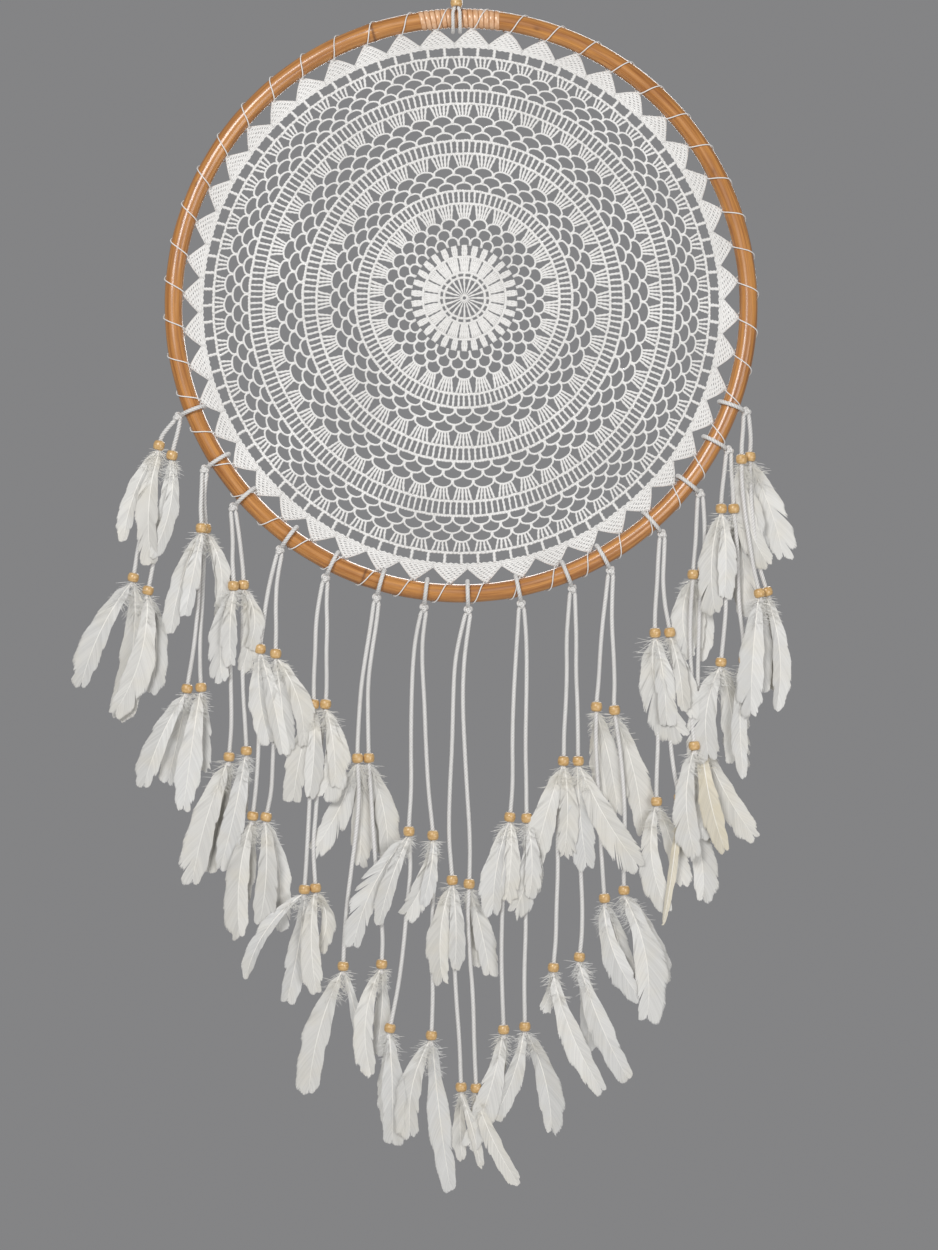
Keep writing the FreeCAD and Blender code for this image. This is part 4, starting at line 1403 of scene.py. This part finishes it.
@dataclass
class Doily:
    """The crocheted cotton doily.

    Attributes:
        pull: How far the crochet's middle was pulled off the hoop's centre, in millimetres.
        rim: Radius where the crochet is no longer pulled.
        unevenness: How far the stitches wander.
    """

    pull: Row = (3.5, 0.0, 8.0)
    rim: float = 262.0 * MM
    unevenness: float = 1.8 * MM

    def build(self, tree: bpy.types.NodeTree, finish: bpy.types.Material) -> None:
        """Crochet every round.

        Args:
            tree: The tree that repeats threads.
            finish: The cotton.
        """
        for seed, part in enumerate(ROUNDS):
            meshes = []
            for stitch in part.stitches:
                turn = TURN / stitch.repeats
                phase = TIP_PHASE if isinstance(stitch, Tips) else 0.0
                meshes.append(grown("round", line_mesh(stitch.lines(), turn), tree, {
                    "Copies": stitch.repeats, "Step": turn, "Phase": phase, "Centre": HOOP_CENTRE,
                    "Sides": part.sides, "Unevenness": self.unevenness, "Seed": float(seed),
                    "Pull": Vector(self.pull) * MM, "Rim": self.rim, "Material": finish,
                }))
            piece = joined(part.name, meshes, finish)
            outward(piece.data)
            fit(piece, "hoop", "crochet_web")


# ------------------------------------------------------------------ hoop


@dataclass
class Hoop:
    """The rattan hoop with its binding, its lacing and the hitches of the strands.

    Attributes:
        stations: Sections round the hoop.
        sides: Points round a section.
        knobs: Growth rings as (degrees from the top towards +X, swell in millimetres).
        bruises: Small dark marks as (degrees from the top towards +X, degrees round the cane).
        wraps: Turns of lacing thread.
        binding_turns: Turns of cane strip over the joint.
        binding_angle: Degrees of hoop under the strip.
        lace_circle: Radius that a wrap turns about, in millimetres.
        lace_reach: From that circle in and out to the thread, in millimetres.
        lace_depth: From the hoop's plane forwards and back to the thread, in millimetres.
        lace_radius: Of the thread, in millimetres.
        lace_lean: Share of the way to the next wrap that is made on the front.
    """

    stations: int = 1440
    sides: int = 24
    knobs: tuple[tuple[float, float], ...] = ((-17.9, 0.35), (-160.3, 0.3))
    bruises: tuple[tuple[float, float], ...] = ((15.3, 80.0), (-65.4, 110.0), (62.1, 70.0), (109.2, 95.0))
    wraps: int = TIP_COUNT
    binding_turns: int = 15
    binding_angle: float = 17.0
    lace_circle: float = 286.9
    lace_reach: float = 10.7
    lace_depth: float = 10.0
    lace_radius: float = 0.62
    lace_lean: float = 0.4

    def cane(self, finish: bpy.types.Material) -> bpy.types.Object:
        """Bend the cane into its ring.

        Args:
            finish: The rattan.

        Returns:
            The piece, with a UV map that runs along the cane in metres.
        """
        rng = random.Random(11)
        waves = [(rng.randint(3, 40), rng.uniform(0, TURN), rng.uniform(0.03, 0.09)) for _ in range(9)]
        rings, marks = [], []
        for i in range(self.stations):
            angle = TURN * i / self.stations
            from_top = (180.0 - math.degrees(angle + math.pi)) % 360.0
            reach = CANE_RADIUS + MM * sum(a * math.sin(n * angle + p) for n, p, a in waves) * 0.5
            ringed = 0.0
            for place, swell in self.knobs:
                away = math.radians((from_top - place + 180) % 360 - 180) * HOOP_RADIUS / MM
                reach += swell * MM * math.exp(-((away / 5) ** 2))
                ringed = max(ringed, 0.85 * math.exp(-((away / 1.3) ** 2)))
            ring = []
            for k in range(self.sides):
                around = TURN * k / self.sides
                out = HOOP_RADIUS - reach * math.cos(around)
                ring.append(polar(out, angle + math.pi, -reach * math.sin(around)))
                mark = ringed
                for place, turn in self.bruises:
                    along = math.radians((from_top - place + 180) % 360 - 180) * HOOP_RADIUS / MM
                    across = math.radians((math.degrees(around) - turn + 180) % 360 - 180) * CANE_RADIUS / MM
                    mark = max(mark, 0.8 * math.exp(-((along / 3.0) ** 2) - (across / 1.4) ** 2))
                marks.append(mark)
            rings.append(ring)
        vertices, faces = skin_rings(rings, True)
        mesh = bpy.data.meshes.new("rattan_ring")
        mesh.from_pydata([HOOP_CENTRE + v for v in vertices], [], faces)
        mesh.attributes.new("mark", "FLOAT", "POINT").data.foreach_set("value", marks)
        self.lay_map(mesh)
        mesh.materials.append(finish)
        return self.fix(mesh_object("rattan_ring", smooth(mesh)), "rattan_hoop")

    def lay_map(self, mesh: bpy.types.Mesh) -> None:
        """Lay the UV map on the cane, in metres along it and in turns round it.

        Args:
            mesh: The cane's mesh.
        """
        layer = mesh.uv_layers.new(name="along")
        for face in mesh.polygons:
            i, k = divmod(face.index, self.sides)
            for corner, loop in zip(((0, 0), (0, 1), (1, 1), (1, 0)), face.loop_indices):
                u = (i + corner[0]) / self.stations * TURN * HOOP_RADIUS
                layer.data[loop].uv = (u, (k + corner[1]) / self.sides)

    def fix(self, piece: bpy.types.Object, node: str) -> bpy.types.Object:
        """Fix a closed piece to the hoop in place of its plain solid.

        Args:
            piece: The piece.
            node: The solid.

        Returns:
            The piece.
        """
        outward(piece.data)
        return fit(piece, "hoop", node)

    def binding(self, tree: bpy.types.NodeTree, finish: bpy.types.Material) -> bpy.types.Object:
        """Wind the cane strip over the joint.

        Args:
            tree: The tree that repeats a ready piece.
            finish: The strip's material.

        Returns:
            The piece.
        """
        step = math.radians(self.binding_angle) / (self.binding_turns + 1)
        half = 0.47 * step
        section = (
            (-half, 0.0), (-0.8 * half, 0.5), (0.0, 0.72), (0.8 * half, 0.5), (half, 0.0), (0.0, -0.3),
        )
        rings = []
        for i in range(49):
            around = TURN * i / 48
            shift = step * (around / TURN - 0.5)
            rings.append([
                polar(
                    HOOP_RADIUS - (CANE_RADIUS + h * MM) * math.cos(around + math.pi),
                    shift + a,
                    -(CANE_RADIUS + h * MM) * math.sin(around + math.pi),
                )
                for a, h in section
            ])
        vertices, faces = skin_rings(rings, False)
        base = bpy.data.meshes.new("turn")
        base.from_pydata(vertices, [], faces)
        mesh = grown("cane_strip", smooth(base), tree, {
            "Copies": self.binding_turns, "Step": step, "Centre": HOOP_CENTRE, "Material": finish,
            "Phase": math.pi - step * (self.binding_turns - 1) / 2,
        })
        return self.fix(mesh_object("cane_strip", mesh), "joint_binding")

    def lacing(self, tree: bpy.types.NodeTree, finish: bpy.types.Material) -> bpy.types.Object:
        """Lace the doily's points to the cane.

        Args:
            tree: The tree that repeats threads.
            finish: The cotton.

        Returns:
            The piece.
        """
        turn = TURN / self.wraps
        lean = self.lace_lean
        steps = 14
        line = []
        for k in range(2 * steps + 1):
            t = k / steps
            share = -(lean * t if t <= 1 else lean + (1 - lean) * (t - 1))
            reach = self.lace_circle - self.lace_reach * math.cos(math.pi * t)
            line.append((reach, share, -self.lace_depth * math.sin(math.pi * t), self.lace_radius))
        mesh = grown("lacing", line_mesh([line], turn), tree, {
            "Copies": self.wraps, "Step": turn, "Phase": TIP_PHASE, "Centre": HOOP_CENTRE, "Sides": 6,
            "Unevenness": 0.5 * MM, "Seed": 4.0, "Rim": 1.0, "Material": finish,
        })
        return self.fix(joined("lacing", [mesh], finish), "lacing_thread")

    def hitches(self, tree: bpy.types.NodeTree, finish: bpy.types.Material) -> bpy.types.Object:
        """Hitch a ring of cord round the cane for each strand.

        Args:
            tree: The tree that sets pieces at points.
            finish: The cotton.

        Returns:
            The piece.
        """
        reach = CANE_RADIUS + 0.9 * MM + CORD_RADIUS
        ring = [Vector((0, math.sin(TURN * i / 64), -math.cos(TURN * i / 64))) * reach for i in range(64)]
        base = mesh_object("ring", Rope(CORD_RADIUS, 9 * MM).mesh("ring", ring, True))
        points = Points()
        for strand in STRANDS:
            angle = math.radians(strand.angle)
            points.add(HOOP_CENTRE + polar(HOOP_RADIUS, angle), (0.0, -angle, 0.0), (1.0, 1.0, 1.0))
        mesh = grown("hitches", points.mesh(), tree, {"Piece": base, "Material": finish})
        drop(base)
        return self.fix(joined("hitches", [mesh], finish), "strand_hitches")


class Points:
    """Points that pieces are set on."""

    def __init__(self) -> None:
        self.places: list[Vector] = []
        self.turns: list[float] = []
        self.reaches: list[float] = []
        self.tints: list[float] = []
        self.shades: list[float] = []

    def add(self, place: Vector, turn: Row, reach: Row, tint: float = 0.0, shade: float = 0.0) -> None:
        """Add a point.

        Args:
            place: Where it is.
            turn: The piece's Euler turn.
            reach: The piece's size along its own axes.
            tint: How cream it is.
            shade: How grey it is.
        """
        self.places.append(place)
        self.turns += turn
        self.reaches += reach
        self.tints.append(tint)
        self.shades.append(shade)

    def mesh(self) -> bpy.types.Mesh:
        """Put the points into a mesh.

        Returns:
            The mesh of loose points with their attributes.
        """
        mesh = bpy.data.meshes.new("points")
        mesh.from_pydata(self.places, [], [])
        mesh.attributes.new("turn", "FLOAT_VECTOR", "POINT").data.foreach_set("vector", self.turns)
        mesh.attributes.new("reach", "FLOAT_VECTOR", "POINT").data.foreach_set("vector", self.reaches)
        mesh.attributes.new("tint", "FLOAT", "POINT").data.foreach_set("value", self.tints)
        mesh.attributes.new("shade", "FLOAT", "POINT").data.foreach_set("value", self.shades)
        return mesh


def outward(mesh: bpy.types.Mesh) -> None:
    """Turn a closed mesh's faces outwards.

    Args:
        mesh: The mesh.
    """
    volume = 0.0
    for face in mesh.polygons:
        corners = [mesh.vertices[i].co for i in face.vertices]
        for a, b in zip(corners[1:], corners[2:]):
            volume += corners[0].dot(a.cross(b))
    if volume < 0:
        mesh.flip_normals()


def bead_mesh(name: str, radius: float, height: float, bore: float) -> bpy.types.Mesh:
    """Turn a wooden bead with a rounded waist and a bore.

    Args:
        name: The mesh's name.
        radius: At the waist.
        height: Along the bore.
        bore: The bore's radius.

    Returns:
        The mesh, its bore along Z.
    """
    section = [(bore, 0.44 * height), (bore + 0.5 * MM, 0.5 * height)]
    for k in range(1, 8):
        angle = math.pi * k / 8
        section.append((radius * (0.62 + 0.38 * math.sin(angle)), 0.5 * height * math.cos(angle)))
    section += [(bore + 0.5 * MM, -0.5 * height), (bore, -0.44 * height)]
    rings = [
        [Vector((r * math.cos(a), r * math.sin(a), z)) for r, z in section]
        for a in (TURN * i / 28 for i in range(28))
    ]
    vertices, faces = skin_rings(rings, True)
    mesh = bpy.data.meshes.new(name)
    mesh.from_pydata(vertices, [], faces)
    outward(mesh)
    return smooth(mesh)


# ------------------------------------------------------------------ feathers


def barb_mesh() -> bpy.types.Mesh:
    """Make one barb, a thin three-sided sliver of unit length along X that bows towards Z.

    Returns:
        The mesh.
    """
    rings = []
    for x, wide in ((0.0, 1.0), (0.3, 1.0), (0.58, 1.0), (0.82, 0.85), (1.0, 0.25)):
        bow = 1.7 * x * x
        low, high = bow - wide / 2, bow + wide / 2
        rings.append([Vector((x, 0.0, high)), Vector((x, 0.11, low)), Vector((x, -0.11, low))])
    vertices, faces = skin_rings(rings, False)
    mesh = bpy.data.meshes.new("barb")
    mesh.from_pydata(vertices, [], faces)
    outward(mesh)
    return mesh


BARB_STEP = 1.15 * MM
BARB_WIDTH = 1.5 * MM
DOWN_COUNT = 60
DOWN_WIDTH = 0.32 * MM


@dataclass
class Feather:
    """One feather.

    Attributes:
        root: Where its quill enters the bead.
        across: How far its tip is towards +X.
        fall: How far its tip is below the root.
        width: Of the whole vane.
        bow: How far its middle bends towards +X.
        depth: How far it stands behind the root.
        seed: For its splits and stray barbs.
        cream: Whether it is a stained one.
        plump: How much wider the barbs reach than the vane's flat width, for those that curl back.
    """

    root: Vector
    across: float
    fall: float
    width: float
    bow: float
    depth: float
    seed: int
    cream: bool
    plump: float = 1.02

    def spine(self, t: float) -> Vector:
        """Find a point on the quill.

        Args:
            t: Share of its length.

        Returns:
            The point.
        """
        length = math.hypot(self.across, self.fall)
        sway = self.bow * 4 * t * (1 - t)
        x = self.across * t + sway * self.fall / length
        z = -self.fall * t + sway * self.across / length
        out = math.copysign(1.0, self.depth)
        y = self.depth * min(1.0, 3.5 * t) + out * 1.6 * MM * math.sin(math.pi * t) * self.lift
        return self.root + Vector((x, y, z))

    @property
    def lift(self) -> float:
        """How far the vane arches out, from 0 to 1."""
        return 0.3 + 0.7 * random.Random(self.seed).random()

    def vane(self, t: float) -> float:
        """Find the vane's width.

        Args:
            t: Share of the quill's length.

        Returns:
            The width there.
        """
        swell = min(1.0, max(0.0, (t - 0.02) / 0.38))
        full = 0.56 + 0.44 * (swell * swell * (3 - 2 * swell))
        end = min(1.0, max(0.0, (t - 0.46) / 0.53)) ** 1.15
        wave = 1.0 + 0.06 * math.sin(13.0 * t + self.seed) + 0.04 * math.sin(31.0 * t + 2 * self.seed)
        return self.width * self.plump * full * wave * math.sqrt(max(0.0, 1 - end * end))

    def splits(self, rng: random.Random) -> list[float]:
        """Choose where one side of the vane parts.

        Args:
            rng: The feather's own chance.

        Returns:
            The clumps' borders along the quill.
        """
        inside = sorted(rng.uniform(0.3, 0.95) for _ in range(rng.choice((0, 1, 1, 2, 3))))
        return [0.0, *inside, 1.01]

    def grow(self, points: Points, stems: list[list[Vector]]) -> None:
        """Add the barbs and the quill.

        Args:
            points: The strand's barbs.
            stems: The strand's quills.
        """
        rng = random.Random(self.seed)
        count = max(30, round(self.fall / BARB_STEP))
        roll = rng.uniform(-0.25, 0.25)
        tint = (0.6 if self.cream else 0.0) + rng.uniform(0.0, 0.18)
        for hand in (-1.0, 1.0):
            dull = rng.uniform(0.0, 0.34)
            borders = self.splits(rng)
            gather = rng.uniform(0.0, 0.16)
            part = 0.46 if hand * self.bow > 0 else 0.54
            for i in range(count):
                t = 0.05 + 0.94 * i / (count - 1)
                ahead = (self.spine(min(1.0, t + 0.02)) - self.spine(max(0.0, t - 0.02))).normalized()
                across = ahead.cross(Vector((0, 1, 0))).normalized() * -hand
                across = Matrix.Rotation(roll, 3, ahead) @ across
                across = across + Vector((0, 0.05, 0)) * math.copysign(1, self.depth)
                clump = next(k for k, b in enumerate(borders[1:]) if t < b)
                within = (t - borders[clump]) / (borders[clump + 1] - borders[clump])
                angle = 0.70 - 0.20 * t + gather * (within - 0.5) + rng.gauss(0, 0.008)
                ragged = 1.0 + rng.gauss(0, 0.012) - (0.08 if within > 0.95 else 0.0)
                length = max(1.2 * MM, self.vane(t) * part / math.sin(angle) * ragged)
                way = (ahead * math.cos(angle) + across * math.sin(angle)).normalized()
                shade = dull + 0.26 * rng.random() + 0.10 * (clump % 2)
                self.barb(points, self.spine(t), way, ahead, (length, BARB_WIDTH), tint, shade)
            self.down(points, hand, tint, rng)
        stems.append([self.spine(i / 14) for i in range(15)])

    def down(self, points: Points, hand: float, tint: float, rng: random.Random) -> None:
        """Add the soft down under the bead on one side.

        Args:
            points: The strand's barbs.
            hand: -1 or 1 for the side.
            tint: How cream it is.
            rng: The feather's own chance.
        """
        for _ in range(DOWN_COUNT):
            t = rng.uniform(0.0, 0.24)
            out = Vector((hand * rng.uniform(0.2, 1.0), rng.gauss(0, 0.45), rng.uniform(-1.3, 0.15)))
            size = (rng.uniform(0.25, 0.62) * self.width, DOWN_WIDTH)
            shade = 0.1 * rng.random()
            self.barb(points, self.spine(t), out.normalized(), Vector((0, 0, -1)), size, tint, shade)

    def barb(
        self,
        points: Points,
        place: Vector,
        way: Vector,
        ahead: Vector,
        size: tuple[float, float],
        tint: float,
        shade: float,
    ) -> None:
        """Add one barb.

        Args:
            points: The strand's barbs.
            place: Its foot on the quill.
            way: Its direction.
            ahead: The quill's direction.
            size: Its length and width.
            tint: How cream it is.
            shade: How grey it is.
        """
        up = ahead - way * ahead.dot(way)
        if up.length < 1e-4:
            return
        up.normalize()
        turn = Matrix((way, up.cross(way), up)).transposed().to_euler()
        points.add(place, tuple(turn), (size[0], size[1], size[1]), tint, shade)


def quill_object(stems: Sequence[Sequence[Vector]], finish: bpy.types.Material) -> bpy.types.Object:
    """Make the quills of a strand's feathers.

    Args:
        stems: Their lines.
        finish: The quill material.

    Returns:
        A helper object.
    """
    vertices, faces = [], []
    for line in stems:
        rings = []
        for i, (side, up) in enumerate(frames(line, False)):
            reach = (0.75 - 0.62 * i / (len(line) - 1)) * MM
            rings.append([
                line[i] + (side * math.cos(a) + up * math.sin(a)) * reach
                for a in (TURN * k / 6 for k in range(6))
            ])
        some, more = skin_rings(rings, False)
        first = len(vertices)
        vertices += some
        faces += [tuple(first + k for k in face) for face in more]
    mesh = bpy.data.meshes.new("quills")
    mesh.from_pydata(vertices, [], faces)
    outward(mesh)
    mesh.materials.append(finish)
    return mesh_object("quills", smooth(mesh))


# ------------------------------------------------------------------ strands


@dataclass(frozen=True)
class Trees:
    """The Geometry Nodes trees.

    Attributes:
        threads: Repeats threads round the hoop.
        turned: Repeats a ready piece round the hoop.
        scatter: Sets pieces at points.
    """

    threads: bpy.types.NodeTree
    turned: bpy.types.NodeTree
    scatter: bpy.types.NodeTree


@dataclass
class StrandMaker:
    """Makes the strands, with the pieces that they share.

    Attributes:
        trees: The Geometry Nodes trees.
        finishes: The materials.
        layer: How far the first feather stands off its cord.
        layer_step: From one feather to the next behind it.
        resolution: Points read from the spline for each control point.
    """

    trees: Trees
    finishes: Finishes
    layer: float = 3.3 * MM
    layer_step: float = 1.5 * MM
    resolution: int = 24

    def __post_init__(self) -> None:
        self.rope = Rope(CORD_RADIUS, 9.5 * MM)
        self.bead = mesh_object("bead", bead_mesh("bead", BEAD_RADIUS, BEAD_HEIGHT, CORD_RADIUS + 0.1 * MM))
        self.barb = mesh_object("barb", barb_mesh())
        knot = []
        for i in range(72):
            t = TURN * i / 72
            x = math.sin(t) + 2 * math.sin(2 * t)
            z = math.cos(t) - 2 * math.cos(2 * t)
            knot.append(Vector((1.05 * x, 1.6 * math.sin(3 * t), 1.1 * z)) * MM)
        self.knot = mesh_object("knot", Rope(2.0 * MM, 9 * MM).mesh("knot", knot, True))

    def tidy(self) -> None:
        """Take the shared pieces out of the scene."""
        for thing in (self.bead, self.barb, self.knot):
            drop(thing)

    def make(self, number: int, strand: Strand) -> None:
        """Make one strand.

        Args:
            number: Its number from the left.
            strand: Its shape.
        """
        body = f"strand_{number:02d}"
        knot = HOOP_CENTRE + polar(KNOT_REACH, math.radians(strand.angle))
        knots, barbs, stems = Points(), Points(), []
        knots.add(knot, (0.0, -math.radians(strand.angle), 0.0), (1.0, 1.0, 1.0))
        for hand, leg in zip("ab", strand.legs):
            route = [knot + Vector(p) * MM for p in leg.route]
            line = spline_points(route, self.resolution)
            cord = mesh_object(f"{body}_cord_{hand}", self.rope.mesh("cord", line))
            cord.data.materials.append(self.finishes.cord)
            outward(cord.data)
            fit(cord, body, f"{body}_cord")
            beads = self.thread_beads(f"{body}_beads_{hand}", route, leg)
            fit(beads, body, f"{body}_beads")
            knots.add(line[-1], (1.2, 0.4, 0.0), (0.52, 0.6, 0.52))
            self.tie_feathers(number, hand, route, leg, barbs, stems)
        scatter = self.trees.scatter
        lumps = grown("knots", knots.mesh(), scatter, {"Piece": self.knot, "Material": self.finishes.cord})
        piece = joined(f"{body}_knots", [lumps], self.finishes.cord)
        outward(piece.data)
        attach(piece, body)
        quills = quill_object(stems, self.finishes.quill)
        plumes = grown(
            f"{body}_plumes", barbs.mesh(), scatter,
            {"Piece": self.barb, "Also": quills, "Material": self.finishes.barb},
        )
        drop(quills)
        fit(mesh_object(f"{body}_plumes", plumes), body, f"{body}_feathers")

    def thread_beads(self, name: str, route: Sequence[Vector], leg: Leg) -> bpy.types.Object:
        """Thread a cord's two beads.

        Args:
            name: The piece's name.
            route: The cord's control points.
            leg: The cord.

        Returns:
            The piece.
        """
        points = Points()
        for spin, run in enumerate(leg.runs):
            start, end = route[run], route[run + 1]
            tilt = (end - start).to_track_quat("-Z", "Y").to_euler()
            points.add((start + end) / 2, tuple(tilt), (1.0, 1.0, 1.0 - 0.06 * spin))
        inputs = {"Piece": self.bead, "Material": self.finishes.wood}
        return mesh_object(name, grown(name, points.mesh(), self.trees.scatter, inputs))

    def tie_feathers(
        self,
        number: int,
        hand: str,
        route: Sequence[Vector],
        leg: Leg,
        barbs: Points,
        stems: list[list[Vector]],
    ) -> None:
        """Tie a cord's feathers into its beads.

        Args:
            number: The strand's number.
            hand: The leg's letter.
            route: The cord's control points.
            leg: The cord.
            barbs: The strand's barbs.
            stems: The strand's quills.
        """
        late = 0 if hand == "a" else 1
        for level, (run, tied) in enumerate(zip(leg.runs, (leg.upper, leg.lower))):
            centre = (route[run] + route[run + 1]) / 2
            side = leg.side.value if level == 0 else Side.FRONT.value
            for place, (across, fall, width, bow) in enumerate(tied):
                layer = self.layer + self.layer_step * (2 * place + late)
                if level == 1 and place == 1:
                    side, layer = Side.BEHIND.value, self.layer + self.layer_step * late
                root = centre + Vector((0.9 * (place * 2 - 1), 0.4 * side, -4.0)) * MM
                Feather(
                    root, across * MM, (fall - 4.0) * MM, abs(width) * MM, bow * MM, side * layer,
                    seed=100 * number + 20 * level + 4 * place + late, cream=width < 0,
                ).grow(barbs, stems)


# ------------------------------------------------------------------ hanger


@dataclass
class Hanger:
    """The hanging cord and its bead.

    Attributes:
        lean: Degrees that the two cords lean to pass before the cane.
        radius: Of the cord.
        half_width: Half the loop's width, in millimetres.
        bead_drop: From the nail down to the bead, in millimetres.
        bead_x: The bead towards +X, in millimetres.
        top: From the nail down to the cane, in millimetres.
        turn_radius: Of the cord's turns round the cane, in millimetres.
        turns: Where the two turns lie towards +X, in millimetres.
    """

    lean: float = 8.905
    radius: float = 1.8 * MM
    half_width: float = 6.9
    bead_drop: float = 76.5
    bead_x: float = -1.0
    top: float = 88.5
    turn_radius: float = 13.7
    turns: tuple[float, float] = (-4.5, 2.5)

    def side(self, hand: int) -> list[Vector]:
        """Lead one cord from behind the cane up to the nail.

        Args:
            hand: 0 for the left cord, 1 for the right.

        Returns:
            The points in millimetres.
        """
        turn = self.turns[hand]
        sign = 2 * hand - 1
        beside = self.bead_x + sign * 1.85
        wide = sign * self.half_width
        points = []
        for degrees in range(-270, 5, 15):
            angle = math.radians(degrees)
            points.append(Vector((
                turn, -self.turn_radius * math.cos(angle), -self.top + self.turn_radius * math.sin(angle),
            )))
        leaning = Matrix.Rotation(-math.radians(self.lean), 3, "X")
        for x, z in ((turn, -85.43), (beside, -82.1), (beside, -68.2), (wide, -14.0), (wide, -5.1)):
            points.append(leaning @ Vector((x, 0.0, z)))
        return points

    def build(self, finishes: Finishes, trees: Trees) -> None:
        """Make the loop and its bead.

        Args:
            finishes: The materials.
            trees: The Geometry Nodes trees.
        """
        leaning = Matrix.Rotation(-math.radians(self.lean), 3, "X")
        bow = []
        for degrees in range(150, 0, -30):
            angle = math.radians(degrees)
            reach = self.half_width
            bow.append(leaning @ Vector((reach * math.cos(angle), 0.0, -5.1 + reach * math.sin(angle))))
        route = [*self.side(0), *bow, *self.side(1)[::-1]]
        middle = sum(self.turns) / 2
        half = (self.turns[1] - self.turns[0]) / 2
        for degrees in (45, 90, 135):
            angle = math.radians(degrees)
            place = (middle + half * math.cos(angle), -half * math.sin(angle), -self.top + self.turn_radius)
            route.append(Vector(place))
        line = spline_points([p * MM for p in route], 16)
        loop = mesh_object("hanging_cord", Rope(self.radius, 7.5 * MM).mesh("hanging_cord", line, True))
        loop.data.materials.append(finishes.cord)
        outward(loop.data)
        fit(loop, "hanger", "hanging_loop")
        source = mesh_object("bead", bead_mesh("bead", 6.0 * MM, 9.2 * MM, 3.4 * MM))
        points = Points()
        centre = leaning @ Vector((self.bead_x, 0.0, -self.bead_drop)) * MM
        points.add(centre, (-math.radians(self.lean), 0.0, 0.0), (1.0, 1.0, 1.0))
        mesh = grown("top_bead", points.mesh(), trees.scatter, {"Piece": source, "Material": finishes.wood})
        drop(source)
        fit(mesh_object("top_bead", mesh), "hanger", "hanger_bead")
        long = sum((b - a).length for a, b in zip(line, [*line[1:], line[0]]))
        LOG.info("hanging cord: %.0f mm round", long / MM)


# ------------------------------------------------------------------ stage


@dataclass
class Stage:
    """The camera, the lights and the pale floor.

    Attributes:
        aim: What the camera looks straight at.
        distance: From the camera to the hoop's plane.
        height: Of the view at the hoop's plane.
        grey: The surroundings.
        floor: Height of the floor.
    """

    aim: Row = (11.5 * MM, 0.0, -695.0 * MM)
    distance: float = 2.6
    height: float = 1.25
    grey: Colour = (0.23, 0.23, 0.235)
    floor: float = -1.43

    def build(self) -> None:
        """Set the camera, the lights and the floor."""
        data = bpy.data.cameras.new("camera")
        data.sensor_fit = "VERTICAL"
        data.sensor_height = 24.0
        data.lens = data.sensor_height * self.distance / self.height
        camera = bpy.data.objects.new("camera", data)
        camera.location = (self.aim[0], -self.distance, self.aim[2])
        camera.rotation_euler = (math.pi / 2, 0.0, 0.0)
        bpy.context.scene.collection.objects.link(camera)
        bpy.context.scene.camera = camera
        self.light("key", (-1.0, -2.6, 0.55), 56.0, 1.0)
        self.light("fill", (1.5, -2.3, -1.0), 28.0, 1.5)
        self.light("back", (0.4, 2.2, 0.6), 30.0, 1.4)
        self.ground()
        world = bpy.data.worlds.new("surroundings")
        world.use_nodes = True
        sky = world.node_tree.nodes["Background"]
        sky.inputs["Color"].default_value = (*self.grey, 1.0)
        sky.inputs["Strength"].default_value = 1.0
        bpy.context.scene.world = world
        bpy.context.scene.view_settings.view_transform = "Standard"

    def light(self, name: str, place: Row, power: float, size: float) -> None:
        """Hang a soft square light that faces the doily.

        Args:
            name: Its name.
            place: Where it is.
            power: Its power in watts.
            size: Its side in metres.
        """
        data = bpy.data.lights.new(name, "AREA")
        data.energy = power
        data.size = size
        lamp = bpy.data.objects.new(name, data)
        lamp.location = place
        aim = Vector((0.0, 0.0, -0.6)) - Vector(place)
        lamp.rotation_euler = aim.to_track_quat("-Z", "Y").to_euler()
        bpy.context.scene.collection.objects.link(lamp)

    def ground(self) -> None:
        """Lay the pale floor."""
        mesh = bpy.data.meshes.new("floor")
        outline = [(-1.4, -1.2), (1.4, -1.2), (1.4, 0.4), (-1.4, 0.4)]
        mesh.from_pydata([(x, y, self.floor) for x, y in outline], [], [(0, 1, 2, 3)])
        material, w, skin = blank("Pale floor")
        noise = w.add("ShaderNodeTexNoise", None, Scale=3.0)
        w.feed(skin.inputs["Base Color"], w.mixed(noise, (0.55, 0.55, 0.55), (0.60, 0.60, 0.60)))
        skin.inputs["Roughness"].default_value = 0.9
        mesh.materials.append(material)
        mesh_object("floor", mesh)


def corners(found: tuple[Vector, Vector]) -> list[list[float]]:
    """Turn two corners into plain lists.

    Args:
        found: The lowest and highest corner.

    Returns:
        Two lists of three numbers.
    """
    return [[float(c) for c in corner] for corner in found]


def main() -> None:
    """Dress the frame."""
    logging.basicConfig(level=logging.INFO, format="%(message)s")
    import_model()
    Stage().build()
    finishes = Finishes()
    copies = copies_group()
    trees = Trees(thread_tree(copies), turned_tree(copies), scatter_tree())
    maker = StrandMaker(trees, finishes)
    for number, strand in enumerate(STRANDS, 1):
        maker.make(number, strand)
    maker.tidy()
    Hanger().build(finishes, trees)
    hoop = Hoop()
    hoop.cane(finishes.cane)
    hoop.binding(trees.turned, finishes.binding)
    hoop.lacing(trees.threads, finishes.thread)
    hoop.hitches(trees.scatter, finishes.cord)
    Doily().build(trees.threads, finishes.thread)


if __name__ == "__main__":
    main()
